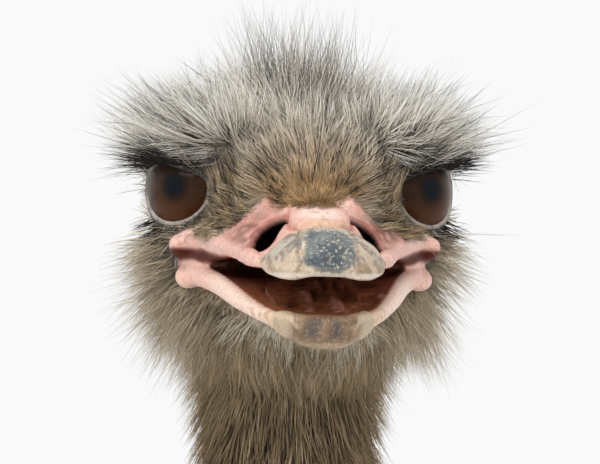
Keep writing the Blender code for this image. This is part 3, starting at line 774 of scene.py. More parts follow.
# Shanks and toes, in metres: a scute every 13 mm down the shin and every 9 mm along the toes
LEG_NODES = [f"{part}_{word}" for word in ("left", "right")
             for part in ("drumstick", "tarsus", "inner_toe", "outer_toe")]
SHIN_SCUTE, TOE_SCUTE = 0.013, 0.009
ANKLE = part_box("tarsus_left")[1].z
shanks = flesh("shanks", LEG_NODES, 0.0030, 5)
p, n = points_of(shanks), normals_of(shanks)
height = p[:, 2]
shin = smooth(height, 0.05, 0.08) * fade(height, ANKLE - 0.08, ANKLE)
shin = shin * smooth(np.clip(-n[:, 1], 0, 1), 0.35, 0.6)
toe_top = smooth(n[:, 2], 0.3, 0.6) * fade(height, 0.05, 0.08)
down_scute, along_scute = (height / SHIN_SCUTE) % 1, (p[:, 1] / TOE_SCUTE) % 1
wrinkle = noise(p, 0.012, 30) + 0.6 * noise(p, 0.006, 31)
push = 0.0013 * shin * (1 - down_scute) ** 0.6 + 0.0010 * toe_top * (1 - along_scute) ** 0.6
push = push + 0.0006 * wrinkle - 0.0010
push *= smooth(height, 0.001, 0.006)
put_points(shanks, p + n * push[:, None])
scute_edge = np.maximum(shin * smooth(down_scute, 0.8, 0.97), toe_top * smooth(along_scute, 0.75, 0.95))
set_tint(shanks, painted(
    p, "#b59a8c",
    ("#8d7a70", smooth(wrinkle, -0.4, 0.8) * 0.6),
    ("#c98f80", smooth(noise(p, 0.05, 32), -0.2, 0.7) * smooth(height, 0.35, 0.6) * 0.5),
    ("#8a6f62", np.maximum(shin, toe_top) * 0.75),
    ("#4f4039", scute_edge * 0.8),
    ("#6c5c53", smooth(-n[:, 2], 0.3, 0.8) * fade(height, 0.02, 0.05)),     # soles
))
for obj, ratio in ((torso, 0.5), (shanks, 0.27)):
    thin_out(obj, ratio)
    obj.data.materials.append(skin_material)
    obj.data.shade_smooth()
bpy.ops.object.select_all(action="DESELECT")
for obj in (torso, shanks, skin):
    obj.select_set(True)
bpy.context.view_layer.objects.active = skin
bpy.ops.object.join()
skin.select_set(False)
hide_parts("head", "neck_upper", "neck_middle", "neck_lower", "trunk", "tail",
            "wing_left", "wing_right", "upper_bill", "lower_bill", *LEG_NODES)
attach(skin, "root")

# ---------------------------------------------------------------------------
# Horn at the tips of the bill: the same clay, cut back to the tip and swollen so
# that it laps over the skin. Worn keratin, blue-grey on the block at the front.
# ---------------------------------------------------------------------------


def keep_inside(obj, centre, sizes):
    """Cuts a lump back to what lies inside an egg."""
    egg = pebble("egg", centre, sizes)
    cut = obj.modifiers.new("cut", "BOOLEAN")
    cut.operation = "INTERSECT"
    cut.object = egg
    bpy.context.view_layer.objects.active = obj
    bpy.ops.object.modifier_apply(modifier=cut.name)
    bpy.data.objects.remove(egg)


tip = clay("tip", [upper_ring(row) for row in UPPER])
keep_inside(tip, (0, -128, -30), (34, 38, 26))
block = pebble("block", (0.2, -108.0, -18.6), (7.6, 14.6, 6.4), 10)
upper_horn = melt("upper_horn", [tip, block], 0.0005, 5)
p = face_mm(points_of(upper_horn))
x, y, z = sides_of(p)
groove = fade(np.abs(x - 8.6 - 0.25 * noise(p, 4, 5)), 0, 1.3) * smooth(z, -25, -21)
push = 0.75 - 0.85 * groove + 0.12 * noise(p, 1.4, 6) + 0.2 * noise(p, 4, 7)
push += 0.7 * fade(np.abs(z + 24.6), 0, 1.8) * (0.5 - 0.5 * np.cos(x / 12.5 * math.pi))
push += 1.2 * dome(p, (12.5, -106, -20), (6.5, 16, 6))
swell(upper_horn, push)
p = face_mm(points_of(upper_horn))
x, y, z = sides_of(p)
fan = noise(np.stack([np.arctan2(p[:, 0], z + 6) * 14, y * 0.12, z * 0.06], 1), 1.0, 8)
chips = noise(p, 1.6, 9) + 0.5 * noise(p, 0.8, 10)
square = (np.abs((p[:, 0] - 0.4) / 8.0) ** 3.2 + np.abs((z + 18.8) / 6.6) ** 3.2) ** (1 / 3.2)
at_front = smooth(-y, 92, 99)
on_block = fade(square + 0.12 * chips, 0.86, 1.05) * at_front
set_tint(upper_horn, painted(
    p, "#c8b299",
    ("#736a60", smooth(fan + 0.3 * chips, -0.2, 0.3) * smooth(z, -25, -20) * 0.85),     # streaks that fan out
    ("#e2d6c4", smooth(fan - 0.5 * chips, 0.3, 0.7) * 0.5),
    # painted shade: darker in the groove beside the block
    ("#5f5a54", groove * 0.6),
    ("#8a6a40", smooth(-z, 19.5, 24.5) * smooth(fan + chips * 0.5, -0.3, 0.6) * 0.8),   # stain near the edge
    ("#e6d8c6", fade(np.abs(z + 26.3), 0.4, 1.3) * 0.9),
    ("#6b716f", on_block),
    ("#3e4a54", on_block * smooth(noise(p, 4, 11) + 0.3 * chips, -0.2, 0.5) * 0.85),
    ("#c9c0ad", on_block * smooth(chips, 0.62, 0.9) * 0.6),
    ("#d8cdbb", fade(np.abs(square - 1.02), 0.03, 0.12) * smooth(chips, 0.0, 0.5) * at_front * 0.8),
    ("#7d6a55", smooth(chips, 0.7, 1.0) * (1 - on_block) * 0.6),
), 0.25 + 0.6 * on_block * smooth(noise(p, 5, 18) + p[:, 0] / 8, -0.8, 0.6))

lower_tip = clay("tip", [lower_ring(row) for row in LOWER])
keep_inside(lower_tip, (0, -130, -46), (31, 31, 22))
lower_horn = melt("lower_horn", [lower_tip], 0.0005, 4)
p = face_mm(points_of(lower_horn))
swell(lower_horn, 0.8 + 0.14 * noise(p, 1.4, 12) + 0.2 * noise(p, 4, 13))
p = face_mm(points_of(lower_horn))
x, y, z = sides_of(p)
chips = noise(p, 1.6, 14) + 0.5 * noise(p, 0.8, 15)
streak = noise(np.stack([p[:, 0] * 1.3, y * 0.2, z * 0.12], 1), 1.0, 17)
at_front = smooth(-y, 104, 109)
dark_patches = [
    fade(np.abs(p[:, 0] - middle) + 1.0 * streak, wide - 2.0, wide + 1.2) * smooth(-z, 38.4, 41.0)
    * at_front * fade(-z + 1.2 * chips, 43.6, 48.2) for middle, wide in ((-4.2, 2.7), (3.4, 2.5))]
rim_edge = fade(np.abs(z - np.interp(-y, -LOWER[:, 0], LOWER[:, 2])), 0.4, 1.5)
set_tint(lower_horn, painted(
    p, "#9a7c5e",
    ("#6a5038", smooth(noise(p, 4, 16) + 0.3 * chips, -0.2, 0.6) * 0.75),
    ("#6f5842", at_front * smooth(streak, 0, 0.6) * 0.7),
    *(("#4f4239", patch * 0.9) for patch in dark_patches),
    ("#d8c2a8", rim_edge * smooth(x, 7, 11) * 0.7),
    ("#b7a07e", smooth(-z, 46.2, 47.6) * 0.6),
    ("#cdb899", smooth(x, 9.5, 12.5) * 0.7),
), np.full(len(p), 0.2))

# Worn keratin: dense and a little waxy, dulled by scratches 0.7 mm apart. Chalky flecks about a
# millimetre across show where the attribute is high.
SCRATCHES_PER_MM, FLECKS_PER_MM = 1.4, 0.95
material, tree, shader, tint = tinted_material("worn keratin")
where = add(tree, "ShaderNodeTexCoord").outputs["Object"]
scratches = add(tree, "ShaderNodeTexNoise", {"Vector": where, "Scale": SCRATCHES_PER_MM / MM, "Detail": 5,
                                             "Roughness": 0.65})
shade = add(tree, "ShaderNodeMapRange", {"Value": scratches.outputs["Fac"], "From Min": 0.3, "From Max": 0.7,
                                         "To Min": 0.72, "To Max": 1.22})
worn = add(tree, "ShaderNodeVectorMath", {0: tint, 1: shade.outputs["Result"]}, operation="MULTIPLY")
flecks = add(tree, "ShaderNodeTexNoise", {"Vector": where, "Scale": FLECKS_PER_MM / MM, "Detail": 3,
                                          "Roughness": 0.7})
flecks = add(tree, "ShaderNodeMapRange", {"Value": flecks.outputs["Fac"], "From Min": 0.55, "From Max": 0.64})
chalk = add(tree, "ShaderNodeMath", {0: flecks.outputs["Result"], 1: tint.node.outputs["Alpha"]},
            operation="MULTIPLY")
flecked = add(tree, "ShaderNodeMix", {"Factor": chalk.outputs["Value"], "A": worn.outputs["Vector"],
                                      "B": (*linear("#ddd2ba"), 1)}, data_type="RGBA")
bump = add(tree, "ShaderNodeBump", {"Height": scratches.outputs["Fac"], "Strength": 0.5,
                                    "Distance": 0.5 * MM})
feed(shader, {"Base Color": flecked.outputs["Result"], "Normal": bump.outputs["Normal"], "Roughness": 0.42,
              "IOR": 1.54})
for horn, node in ((upper_horn, "upper_nail"), (lower_horn, "lower_nail")):
    horn.data.materials.append(material)
    horn.data.shade_smooth()
    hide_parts(node)
    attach(horn, "root")

# ---------------------------------------------------------------------------
# Claws: the solids' own blunt nails, one on each inner toe. Dark horn, worn pale
# in streaks and finely ridged along its length, with a dull polish from walking.
# ---------------------------------------------------------------------------

RIDGES_PER_MM = 0.26
material, tree, shader = new_material("claw horn")
where = add(tree, "ShaderNodeTexCoord").outputs["Object"]
drawn = add(tree, "ShaderNodeMapping", {"Vector": where, "Scale": (1, 0.2, 1)})
ridges = add(tree, "ShaderNodeTexNoise", {"Vector": drawn.outputs["Vector"], "Scale": RIDGES_PER_MM / MM,
                                          "Detail": 4})
worn = add(tree, "ShaderNodeMapRange", {"Value": ridges.outputs["Fac"], "From Min": 0.35, "From Max": 0.65})
streaked = add(tree, "ShaderNodeMix", {"Factor": worn.outputs["Result"], "A": (*linear("#2b2520"), 1),
                                       "B": (*linear("#7a6c5d"), 1)}, data_type="RGBA")
bump = add(tree, "ShaderNodeBump", {"Height": ridges.outputs["Fac"], "Strength": 0.6, "Distance": 1 * MM})
feed(shader, {"Base Color": streaked.outputs["Result"], "Normal": bump.outputs["Normal"], "Roughness": 0.4})
for word in ("left", "right"):
    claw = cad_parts[f"claw_{word}"]
    claw.material_slots[0].link = "OBJECT"
    claw.material_slots[0].material = material

# ---------------------------------------------------------------------------
# Eyes: one ball each with a slightly domed cornea, turned to where the bird
# looks. Brown iris with fine spokes round a small blue-black pupil, wet all over.
# ---------------------------------------------------------------------------

GAZE_OUT, GAZE_UP = math.radians(33), math.radians(4)
CORNEA = 0.028                                             # how far it stands out, as a share of the radius

# A wet eye: clear and smooth, so under a thin film of tears it has one small sharp light in it
material, tree, shader, tint = tinted_material("wet eye")
feed(shader, {"Base Color": tint, "Roughness": 0.3, "IOR": 1.38, "Specular IOR Level": 0.05,
              "Coat Weight": 0.16, "Coat Roughness": 0.04})
for side, node in ((-1, "eye_right"), (1, "eye_left")):
    bpy.ops.mesh.primitive_uv_sphere_add(segments=128, ring_count=96, radius=EYE_SIZE * MM)
    ball = bpy.context.object
    ball.name = "eyeball"
    local = points_of(ball) / MM
    angle = np.degrees(np.arccos(np.clip(local[:, 2] / EYE_SIZE, -1, 1)))
    turn = np.arctan2(local[:, 1], local[:, 0])
    local *= (1 + CORNEA * fade(angle, 10, 40))[:, None]
    gaze = Vector((side * math.sin(GAZE_OUT), -math.cos(GAZE_OUT), math.sin(GAZE_UP)))
    centre = place((side * EYE_AT[0], EYE_AT[1], EYE_AT[2]))
    p = local * MM @ np.array(gaze.to_track_quat("Z", "Y").to_matrix()).T + centre
    put_points(ball, p)
    rise = (p - centre)[:, 2] / (EYE_SIZE * MM)
    spokes = noise(np.stack([np.cos(turn) * 9, np.sin(turn) * 9, angle * 0.05], 1), 1.0, 20)
    # The lower part of the iris, painted lighter where light falls under the brow
    lit_lower_iris = smooth(-rise, 0.05, 0.5) * smooth(angle, 14, 24) * fade(angle, 38, 48)
    set_tint(ball, painted(
        local, "#3a2413",
        ("#472914", smooth(spokes, -0.2, 0.8) * 0.5 * smooth(angle, 18, 30)),
        ("#26150d", smooth(-spokes, 0.1, 0.9) * 0.6),
        ("#1f140d", fade(angle, 11, 20)),
        ("#070f18", fade(angle, 8.5, 11)),           # pupil
        ("#0e0a08", smooth(angle, 44, 54)),
        ("#120c09", smooth(rise, 0.0, 0.5) * 0.6),         # shade of the brow
        # painted light: the lower iris a warmer, lighter brown
        ("#6a3d22", lit_lower_iris * 0.35),
    ))
    ball.data.shade_smooth()
    ball.data.materials.append(material)
    ball.select_set(False)
    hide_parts(node)
    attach(ball, "root")

# ---------------------------------------------------------------------------
# Tongue: a short thick pad at the back of the floor of the mouth, wrinkled
# lengthways, brown with pink ridges and wet, with painted shade in its furrows
# and towards its back.
# ---------------------------------------------------------------------------

tongue = melt("tongue_pad", [clay("pad", ovals([
    (-92, -39.5, 4, .5, .5), (-86, -38.0, 12, 1.4, .8), (-74, -35.6, 15, 2.4, 1),
    (-60, -32.4, 15.5, 3, 1), (-50, -29.2, 14, 2.6, 1), (-45, -28.2, 9, 1.6, .8)]))], 0.0007, 3)
p = face_mm(points_of(tongue))
ridge = noise(np.stack([p[:, 0] * 0.9, p[:, 1] * 0.15, p[:, 2] * 0], 1), 1.7, 21)
swell(tongue, 0.7 * ridge + 0.3 * noise(p, 2, 22))
set_tint(tongue, painted(
    p, "#935c3f",
    ("#cf9784", smooth(ridge, 0.2, 0.6) * 0.75),
    # painted shade: dark in the furrows between the ridges
    ("#47240f", smooth(-ridge, 0.1, 0.5) * 0.85),
    ("#5a3a1e", smooth(noise(p, 1.3, 25), 0.15, 0.6) * 0.6),
    # painted shade: darker towards the back of the mouth
    ("#2a130a", smooth(p[:, 1], -60, -44) * 0.8),
))

# Mouth lining: soft wet skin, which gives broad lights under a thin clear film
material, tree, shader, tint = tinted_material("mouth lining")
feed(shader, {"Base Color": tint, "Roughness": 0.35, "Coat Weight": 0.12})
tongue.data.materials.append(material)
tongue.data.shade_smooth()
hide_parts("tongue")
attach(tongue, "root")

# ---------------------------------------------------------------------------
# Coat of the head: hair-like feathers, each a thin tapering strand with three
# sides and a root in the skin. They fan away from the bill, longer and looser on
# the crown, in tufts that share a leader, and thin out over the lores and brow.
# ---------------------------------------------------------------------------

rng = np.random.default_rng(7)
skin_points = np.concatenate([head_ground[0], torso_ground[0]])
skin_normals = np.concatenate([head_ground[1], torso_ground[1]])
corners = np.concatenate([head_ground[2], torso_ground[2] + len(head_ground[0])])
spans = skin_points[corners]
areas = np.linalg.norm(np.cross(spans[:, 1] - spans[:, 0], spans[:, 2] - spans[:, 0]), axis=1) / 2
middles = spans.mean(axis=1)


def unit(v):
    """Each row made one long."""
    return v / np.maximum(np.linalg.norm(v, axis=1, keepdims=True), 1e-9)


def of(value, q):
    """A number for each root: the same for all, or worked out from where it is."""
    return value(q) if callable(value) else np.full(len(q), float(value))


def roots(count, density):
    """Random places on the skin, as thick as density says for each triangle, and the normals there."""
    share = areas * density
    chosen = rng.choice(len(areas), count, p=share / share.sum())
    a, b = rng.random((2, count, 1))
    a, b = np.where(a + b > 1, 1 - a, a), np.where(a + b > 1, 1 - b, b)
    weights = np.concatenate([1 - a - b, a, b], axis=1)[:, :, None]
    places = (skin_points[corners[chosen]] * weights).sum(axis=1)
    return places, unit((skin_normals[corners[chosen]] * weights).sum(axis=1))


def near_finder(points):
    """A tree that finds the nearest of the points."""
    tree = KDTree(len(points))
    for index, point in enumerate(points):
        tree.insert(point, index)
    tree.balance()
    return tree


def leaders(p, few):
    """For each root, the nearest of the first few roots, whose strand leads its tuft."""
    tree = near_finder(p[:few])
    return np.array([tree.find(point)[1] for point in p])


# What strands are combed clear of: the skin's tree, points and normals, and how far they stay off it
ON_HEAD = (near_finder(head_ground[0]), *head_ground[:2], 0.0006)
ON_BODY = (near_finder(torso_ground[0]), *torso_ground[:2], 0.004)
ROOT_DEPTH = 0.0005
BILL_BASE = np.array([0.0, -62.0, -8.0])                   # in mm of the face


def comb(path, tree, places, normals, clearance):
    """Lifts the strands' points that would sink into the skin until they clear it."""
    flat = path.reshape(-1, 3)
    near, away = np.array([tree.find(point)[1:] for point in flat]).T
    near = near.astype(int)
    above = ((flat - places[near]) * normals[near]).sum(axis=1)
    lift = np.maximum(0, clearance - above) * (away < 6 * clearance)
    return (flat + normals[near] * lift[:, None]).reshape(path.shape)


def strands(start, along, over, length, width, bend, rings=3, flat=0.6, wave=0.0, leader=None, gather=0.0,
            skin_below=None):
    """Points of many strands, as count x rows x 3, with their share of the way to the tip.

    Each leaves start along one way and is pulled over to bend as it goes; the last row is the tip.
    With a leader, the strands of a tuft close on the leader's towards the tip."""
    count = len(start)
    share = np.linspace(0, 1, rings + 1)
    t = share[None, :, None]
    length = np.broadcast_to(np.asarray(length, float), count)[:, None, None]
    width = np.broadcast_to(np.asarray(width, float), count)[:, None, None]
    path = start[:, None] + length * (along[:, None] * t + 0.5 * bend[:, None] * t ** 2)
    if wave:
        sway = unit(np.cross(along, rng.normal(size=(count, 3))))[:, None]
        phase = rng.random((count, 1, 1)) * 6.28
        path = path + length * wave * sway * (np.sin(5.0 * t + phase) - np.sin(phase)) * t
    if leader is not None:
        path = path + gather * t ** 1.4 * (path[leader] - path)
    if skin_below:
        path[:, 1:] = comb(path[:, 1:], *skin_below)
    way = along[:, None] + bend[:, None] * t
    way /= np.linalg.norm(way, axis=2, keepdims=True)
    side = np.cross(way, over[:, None])
    side /= np.maximum(np.linalg.norm(side, axis=2, keepdims=True), 1e-9)
    top = np.cross(side, way)
    girth = (width / 2 * (1 - t ** 2) ** 0.5)[:, :rings]
    ring_points = []
    for turn in (math.pi / 2, math.pi * 7 / 6, math.pi * 11 / 6):
        outwards = math.cos(turn) * side[:, :rings] + math.sin(turn) * flat * top[:, :rings]
        ring_points.append(path[:, :rings] + girth * outwards)
    body = np.stack(ring_points, axis=2).reshape(count, rings * 3, 3)
    share = np.concatenate([np.repeat(share[:rings], 3), [1.0]])
    return np.concatenate([body, path[:, -1:]], axis=1), np.broadcast_to(share, (count, rings * 3 + 1))


# Hair-like feather: dry keratin in loose strands, which light gets between, so it gives almost no shine
hair_material, tree, shader, tint = tinted_material("hair-like feather")
feed(shader, {"Base Color": tint, "Roughness": 0.6, "Specular IOR Level": 0.3})
SPOT = 0.0015                                              # each strand's size on the flat layout


def coat_piece(name, groups, unwrap):
    """One mesh of many strands. A group is points, share of the way, root, and colour for each point."""
    all_points, all_colours, all_uv, loops, totals = [], [], [], [], []
    offset = 0
    for points, share, root, colour in groups:
        count, size = share.shape
        rings = (size - 1) // 3
        last = (rings - 1) * 3
        quads = [(k * 3 + i, k * 3 + (i + 1) % 3, k * 3 + 3 + (i + 1) % 3, k * 3 + 3 + i)
                 for k in range(rings - 1) for i in range(3)]
        ends = [(last + i, last + (i + 1) % 3, size - 1) for i in range(3)]
        pattern = np.array([corner for face in quads + ends for corner in face])
        loops.append((offset + np.arange(count)[:, None] * size + pattern[None]).reshape(-1))
        totals.append(np.tile([len(face) for face in quads + ends], count))
        all_points.append(points.reshape(-1, 3))
        all_colours.append(colour.reshape(-1, 3))
        within = np.stack([np.tile(np.cos(np.arange(size) * 2.1), (count, 1)), share * 2 - 1], axis=2)
        all_uv.append((unwrap(root)[:, None] + SPOT * within).reshape(-1, 2))
        offset += count * size
    points, loops, totals = np.concatenate(all_points), np.concatenate(loops), np.concatenate(totals)
    mesh = bpy.data.meshes.new(name)
    mesh.vertices.add(len(points))
    mesh.vertices.foreach_set("co", points.astype(np.float32).ravel())
    mesh.loops.add(len(loops))
    mesh.loops.foreach_set("vertex_index", loops.astype(np.int32))
    mesh.polygons.add(len(totals))
    mesh.polygons.foreach_set("loop_start", np.concatenate([[0], np.cumsum(totals)[:-1]]).astype(np.int32))
    mesh.update(calc_edges=True)
    mesh.polygons.foreach_set("use_smooth", np.ones(len(totals), bool))
    uv = mesh.uv_layers.new(name="OFBake")
    uv.data.foreach_set("uv", np.concatenate(all_uv)[loops].astype(np.float32).ravel())
    obj = bpy.data.objects.new(name, mesh)
    bpy.context.scene.collection.objects.link(obj)
    set_tint(obj, np.concatenate(all_colours))
    mesh.materials.append(hair_material)
    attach(obj, "root")


def shaded(share, q, root_colour, tip_colour, light, power=1.0):
    """Colours for strands, from root to tip, each strand a little lighter or darker.

    The colour at each end is a hex code, one colour for each strand, or worked out from q."""
    ends = []
    for colour in (root_colour, tip_colour):
        colour = linear(colour) if isinstance(colour, str) else colour(q) if callable(colour) else colour
        ends.append(np.atleast_2d(colour)[:, None])
    low, high = ends
    t = share[:, :, None] ** power
    return np.clip((low * (1 - t) + high * t) * light[:, None, None], 0, 1)


def head_unwrap(root):
    """The head's skin spread out round the bill, as flat as a peeled orange."""
    v = unit(face_mm(root) - (0, 10, -10))
    reach = np.arccos(np.clip(-v[:, 1], -1, 1)) / math.pi
    turn = np.arctan2(v[:, 0], v[:, 2])
    return 0.5 + 0.49 * reach[:, None] * np.stack([np.sin(turn), np.cos(turn)], axis=1)


def may_root(q):
    """Where strands may root on the head: not on bare skin, lids or inside the mouth."""
    x, y, z = sides_of(q)
    bare = (z < top_of_bare(q) - 1.2) & (z > foot_of_bare(q) + 0.8) & (y < -11) & (y + 0.6 * z < 1.5)
    bare = bare | (y < -96)
    lids = (eye_angles(q)[2] < EYE_SIZE + 3.2) & (lid_gap(q) < 1.22)
    throat_hole = (x < 30) & (y > -9) & (y < 32) & (z > -33) & (z < -15)
    return ~(bare | lids | throat_hole)


def from_bill(q):
    """How far each root is from the base of the bill, in mm."""
    return np.linalg.norm(q - BILL_BASE, axis=1)


def in_lores(q):
    """The thinly haired skin between eye and bill."""
    x, y, z = sides_of(q)
    return smooth(-y, 6, 20) * smooth(x, 17, 24) * fade(z, 5, 14)


def tangent(way, nrm):
    """The way turned to lie along the skin."""
    return unit(way - nrm * (way * nrm).sum(axis=1, keepdims=True))


def head_flow(p, nrm):
    """Away from the bill, up out of the lores, and down the cheeks and chin."""
    q = face_mm(p)
    _, y, z = sides_of(q)
    way = unit(q - BILL_BASE) + in_lores(q)[:, None] * np.array([0, 0.2, 1.3]) * smooth(z, -12, 0)[:, None]
    low = smooth(-z, 22, 46)[:, None]
    way = way + low * np.array([0, 0.3, -1.8]) + low * smooth(-y, -10, 20)[:, None] * np.array([0, 1.5, 0])
    way = way + (smooth(-z, 34, 44) * smooth(-y, 5, 30))[:, None] * np.array([0, 1.8, -0.6])
    return tangent(way, nrm)


def tufted(p, cell, seed):
    """A random way for each small clump of skin, so that strands gather in tufts."""
    return np.stack([noise(face_mm(p), cell, seed + k) for k in range(3)], axis=1)


def over_eye(points):
    """Which points, in metres, hang in front of the gap between the lids."""
    q = face_mm(points)
    round_, up, out, away = eye_angles(q)
    beside = (lid_gap(q) < 1.0) & (out < EYE_SIZE + 30) & (np.abs(round_) < 70)
    flat = np.hypot(away[:, 0], away[:, 2])
    face_of_ball = EYE_AT[1] - np.sqrt(np.maximum(EYE_SIZE ** 2 - flat ** 2, 0))
    on_ball = np.stack([q[:, 0], face_of_ball, q[:, 2]], axis=1)
    ahead = (flat < EYE_SIZE) & (q[:, 1] < on_ball[:, 1]) & (lid_gap(on_ball) < 1.02)
    return beside | ahead


def beside_eye(q):
    """The side of the head behind the eyeball, where the coat is short and flat."""
    x, y, z = sides_of(q)
    return smooth(x, 28, 35) * fade(np.abs(z + 4), 9, 16) * smooth(y, -6, 4)


def make_coat(count, density, length, lift, width, root_colour, tip_colour, spread=0.25, clump=0.5, bend=0.4,
              rings=2, wave=0.04, fall=0.0, clear=True, flow=head_flow, tuft=14, gather=0.55):
    """A group of strands on the head: length and width in mm, and lift off the skin in degrees.

    So many strands make a tuft and gather on its leader. Those that would hang over an eye are shortened,
    and left out if they still do, unless clear is false."""
    p, nrm = roots(count, density)
    q = face_mm(p)
    flow = flow(p, nrm)
    angle = np.radians(of(lift, q) + rng.normal(0, 8, count) - 26 * beside_eye(q))
    way = flow * np.cos(angle)[:, None] + nrm * np.sin(angle)[:, None]
    way = unit(way + clump * tufted(p, 5.0, 40) + spread * rng.normal(size=(count, 3)))
    size = of(length, q) * rng.uniform(0.6, 1.15, count) * (1 - 0.55 * beside_eye(q))
    if clear:
        for _ in range(2):
            covers = np.zeros(count, bool)
            for t in (0.3, 0.6, 1.0):
                covers |= over_eye(p + way * (size * t * MM)[:, None])
            size = np.where(covers, np.maximum(size * 0.45, 1.8), size)
        keep = size > 1.0
        p, nrm, q, way, size, flow = p[keep], nrm[keep], q[keep], way[keep], size[keep], flow[keep]
        count = len(p)
    leader = leaders(p, max(1, count // tuft))
    points, share = strands(p - nrm * ROOT_DEPTH, way, nrm, size * MM,
                            width * MM * rng.uniform(0.7, 1.3, count), bend * flow + np.array([0, 0, -fall]),
                            rings=rings, wave=wave, leader=leader, gather=gather, skin_below=ON_HEAD)
    light = rng.normal(1.0, 0.22, count) * (1 + 0.3 * noise(q, 2.2, 50))
    light = np.clip(light * rng.normal(1.0, 0.16, count)[leader], 0.3, 1.6)
    if clear:
        seen = ~over_eye(points.reshape(-1, 3)).reshape(count, -1).any(axis=1)
        points, share, p, q, light = points[seen], share[seen], p[seen], q[seen], light[seen]
    return points, share, p, shaded(share, q, root_colour, tip_colour, light, 0.8)


def by_reach(q, reaches, values):
    """A value that changes with the distance from the bill."""
    return np.interp(from_bill(q), reaches, values)


# Length in mm, lift in degrees and colours of the crown's strands: cream, browner towards the bill


def crown_length(q):
    size = by_reach(q, (0, 15, 35, 60, 90, 130), (4, 8, 14, 26, 37, 32))
    size *= 1 - 0.08 * smooth(np.abs(q[:, 0]), 20, 42)
    return size * (1 - 0.55 * in_lores(q))


def crown_lift(q):
    return by_reach(q, (0, 30, 60, 90, 130), (16, 20, 27, 40, 36)) + 4 * in_lores(q)


def crown_root(q):
    return painted(q, "#a29683", ("#bdb2a0", smooth(np.abs(q[:, 0]), 14, 28) * 0.8),
                   ("#86663c", fade(from_bill(q), 8, 50) * 0.9), ("#5e4f3d", in_lores(q)))


def crown_tip(q):
    return painted(q, "#f8f0e2", ("#fdf9f0", smooth(np.abs(q[:, 0]), 14, 28) * 0.8),
                   ("#cba878", fade(from_bill(q), 8, 55) * 0.85), ("#ad9574", in_lores(q) * 0.8))


def over_lashes(q):
    """The dark fringe of the brow just above the lashes."""
    x, y, z = sides_of(q)
    return smooth(x, 17, 25) * fade(np.abs(z - 15), 4, 9) * smooth(-y, -14, -2) * fade(-y, 20, 34)


# The same for the cheeks: buff, with a dark patch behind the gape and a duller throat


def cheek_length(q):
    x, _, z = sides_of(q)
    size = by_reach(q, (0, 30, 60, 90, 130), (6, 8, 18, 29, 26))
    size *= 1 - 0.25 * smooth(-z, 34, 52) + 0.15 * smooth(x, 28, 38)
    return size * (1 - 0.5 * in_lores(q))


def cheek_lift(q):
    return by_reach(q, (0, 30, 60, 90, 130), (14, 16, 30, 44, 36)) + 4 * in_lores(q)


def cheek_root(q):
    x, y, z = sides_of(q)
    behind_gape = fade(np.abs(y + 2), 6, 14) * smooth(-z, 12, 18) * fade(-z, 30, 36) * smooth(x, 30, 36)
    return painted(q, "#8f8068", ("#3f342a", behind_gape * 0.8), ("#7d6a4e", smooth(-z, 36, 56)))


def cheek_tip(q):
    x, _, z = sides_of(q)
    return painted(q, "#d4c5aa",
                   ("#ab9672", np.maximum(smooth(-z, 36, 56), smooth(-z, 34, 46) * fade(x, 24, 36))))


# How thickly each kind of strand grows on each triangle of the skin
q = face_mm(middles)
x, y, z = sides_of(q)
on_head = (z > -75) & (y < 100) & may_root(q)
crown = on_head * smooth(z, -4, 4)
cheek = on_head * fade(z, -4, 4) * smooth(z, -62, -54)
reach = from_bill(q)
lores = in_lores(q)
near_bill = 1 + 1.6 * fade(reach, 30, 70)
edge = fade(np.abs(z - top_of_bare(q) - 1.5), 1.5, 4.5) * (y < -16) * (y > -86) * (lid_gap(q) > 1.4)
under_bill = cheek * smooth(-z, 34, 40) * smooth(-y, 5, 20)
DARK = ("#2b251f", "#12100e")

coat_piece("crown_coat", [
    make_coat(12500, crown * near_bill, crown_length, crown_lift, 0.28, crown_root, crown_tip, rings=3),
], head_unwrap)
coat_piece("crown_bristles", [
    # pale underlayer, then brown, dark and long silvery bristles among it
    make_coat(7000, crown * near_bill * (0.5 + smooth(x, 20, 45)), lambda q: crown_length(q) * 0.85,
              lambda q: crown_lift(q) - 8, 0.26, crown_root, crown_tip),
    make_coat(1000, crown * smooth(reach, 10, 50), lambda q: crown_length(q) * 0.9, crown_lift, 0.26,
              "#4a4034", "#5c5145", spread=0.15),
    make_coat(700, crown * smooth(reach, 20, 60), lambda q: crown_length(q) * 1.1,
              lambda q: crown_lift(q) + 4, 0.28, *DARK, spread=0.10, clump=0.35, tuft=5),
    make_coat(200, crown * fade(reach, 34, 46) * smooth(reach, 8, 14), 24, 17, 0.34, *DARK,
              spread=0.08, clump=0.2, tuft=3, gather=0.3),
    make_coat(1000, crown * smooth(reach, 55, 90) * fade(x, 5, 19), 46,
              lambda q: crown_lift(q) + 20, 0.20, "#6b6152", "#8f887c", spread=0.2, clump=0.3, wave=0.08),
    # lores: short dark and tan bristles
    make_coat(2600, (crown + cheek) * lores, 7, 26, 0.22, *DARK, spread=0.2, clump=0.5, tuft=6),
    make_coat(3600, (crown + cheek) * lores, 7.5, 24, 0.24, "#7b684d", "#b59a74", spread=0.2, clump=0.5,
              tuft=6),
    # brow, and a few long dark strands behind it
    make_coat(1500, crown * over_lashes(q) * (z < 21), 9, 44, 0.26, "#2f2a24", "#5b554b", tuft=6),
    make_coat(280, crown * smooth(x, 24, 32) * smooth(reach, 55, 70), 34, lambda q: crown_lift(q) + 6, 0.26,
              *DARK, spread=0.15, tuft=4, gather=0.4),
    # the edge of the bare skin
    make_coat(2400, edge, 6.5, 14, 0.24, "#8a6a42", "#bf9d70", tuft=6),
    make_coat(600, edge * smooth(x, 4, 12), 6.5, 18, 0.22, *DARK, tuft=6),
], head_unwrap)
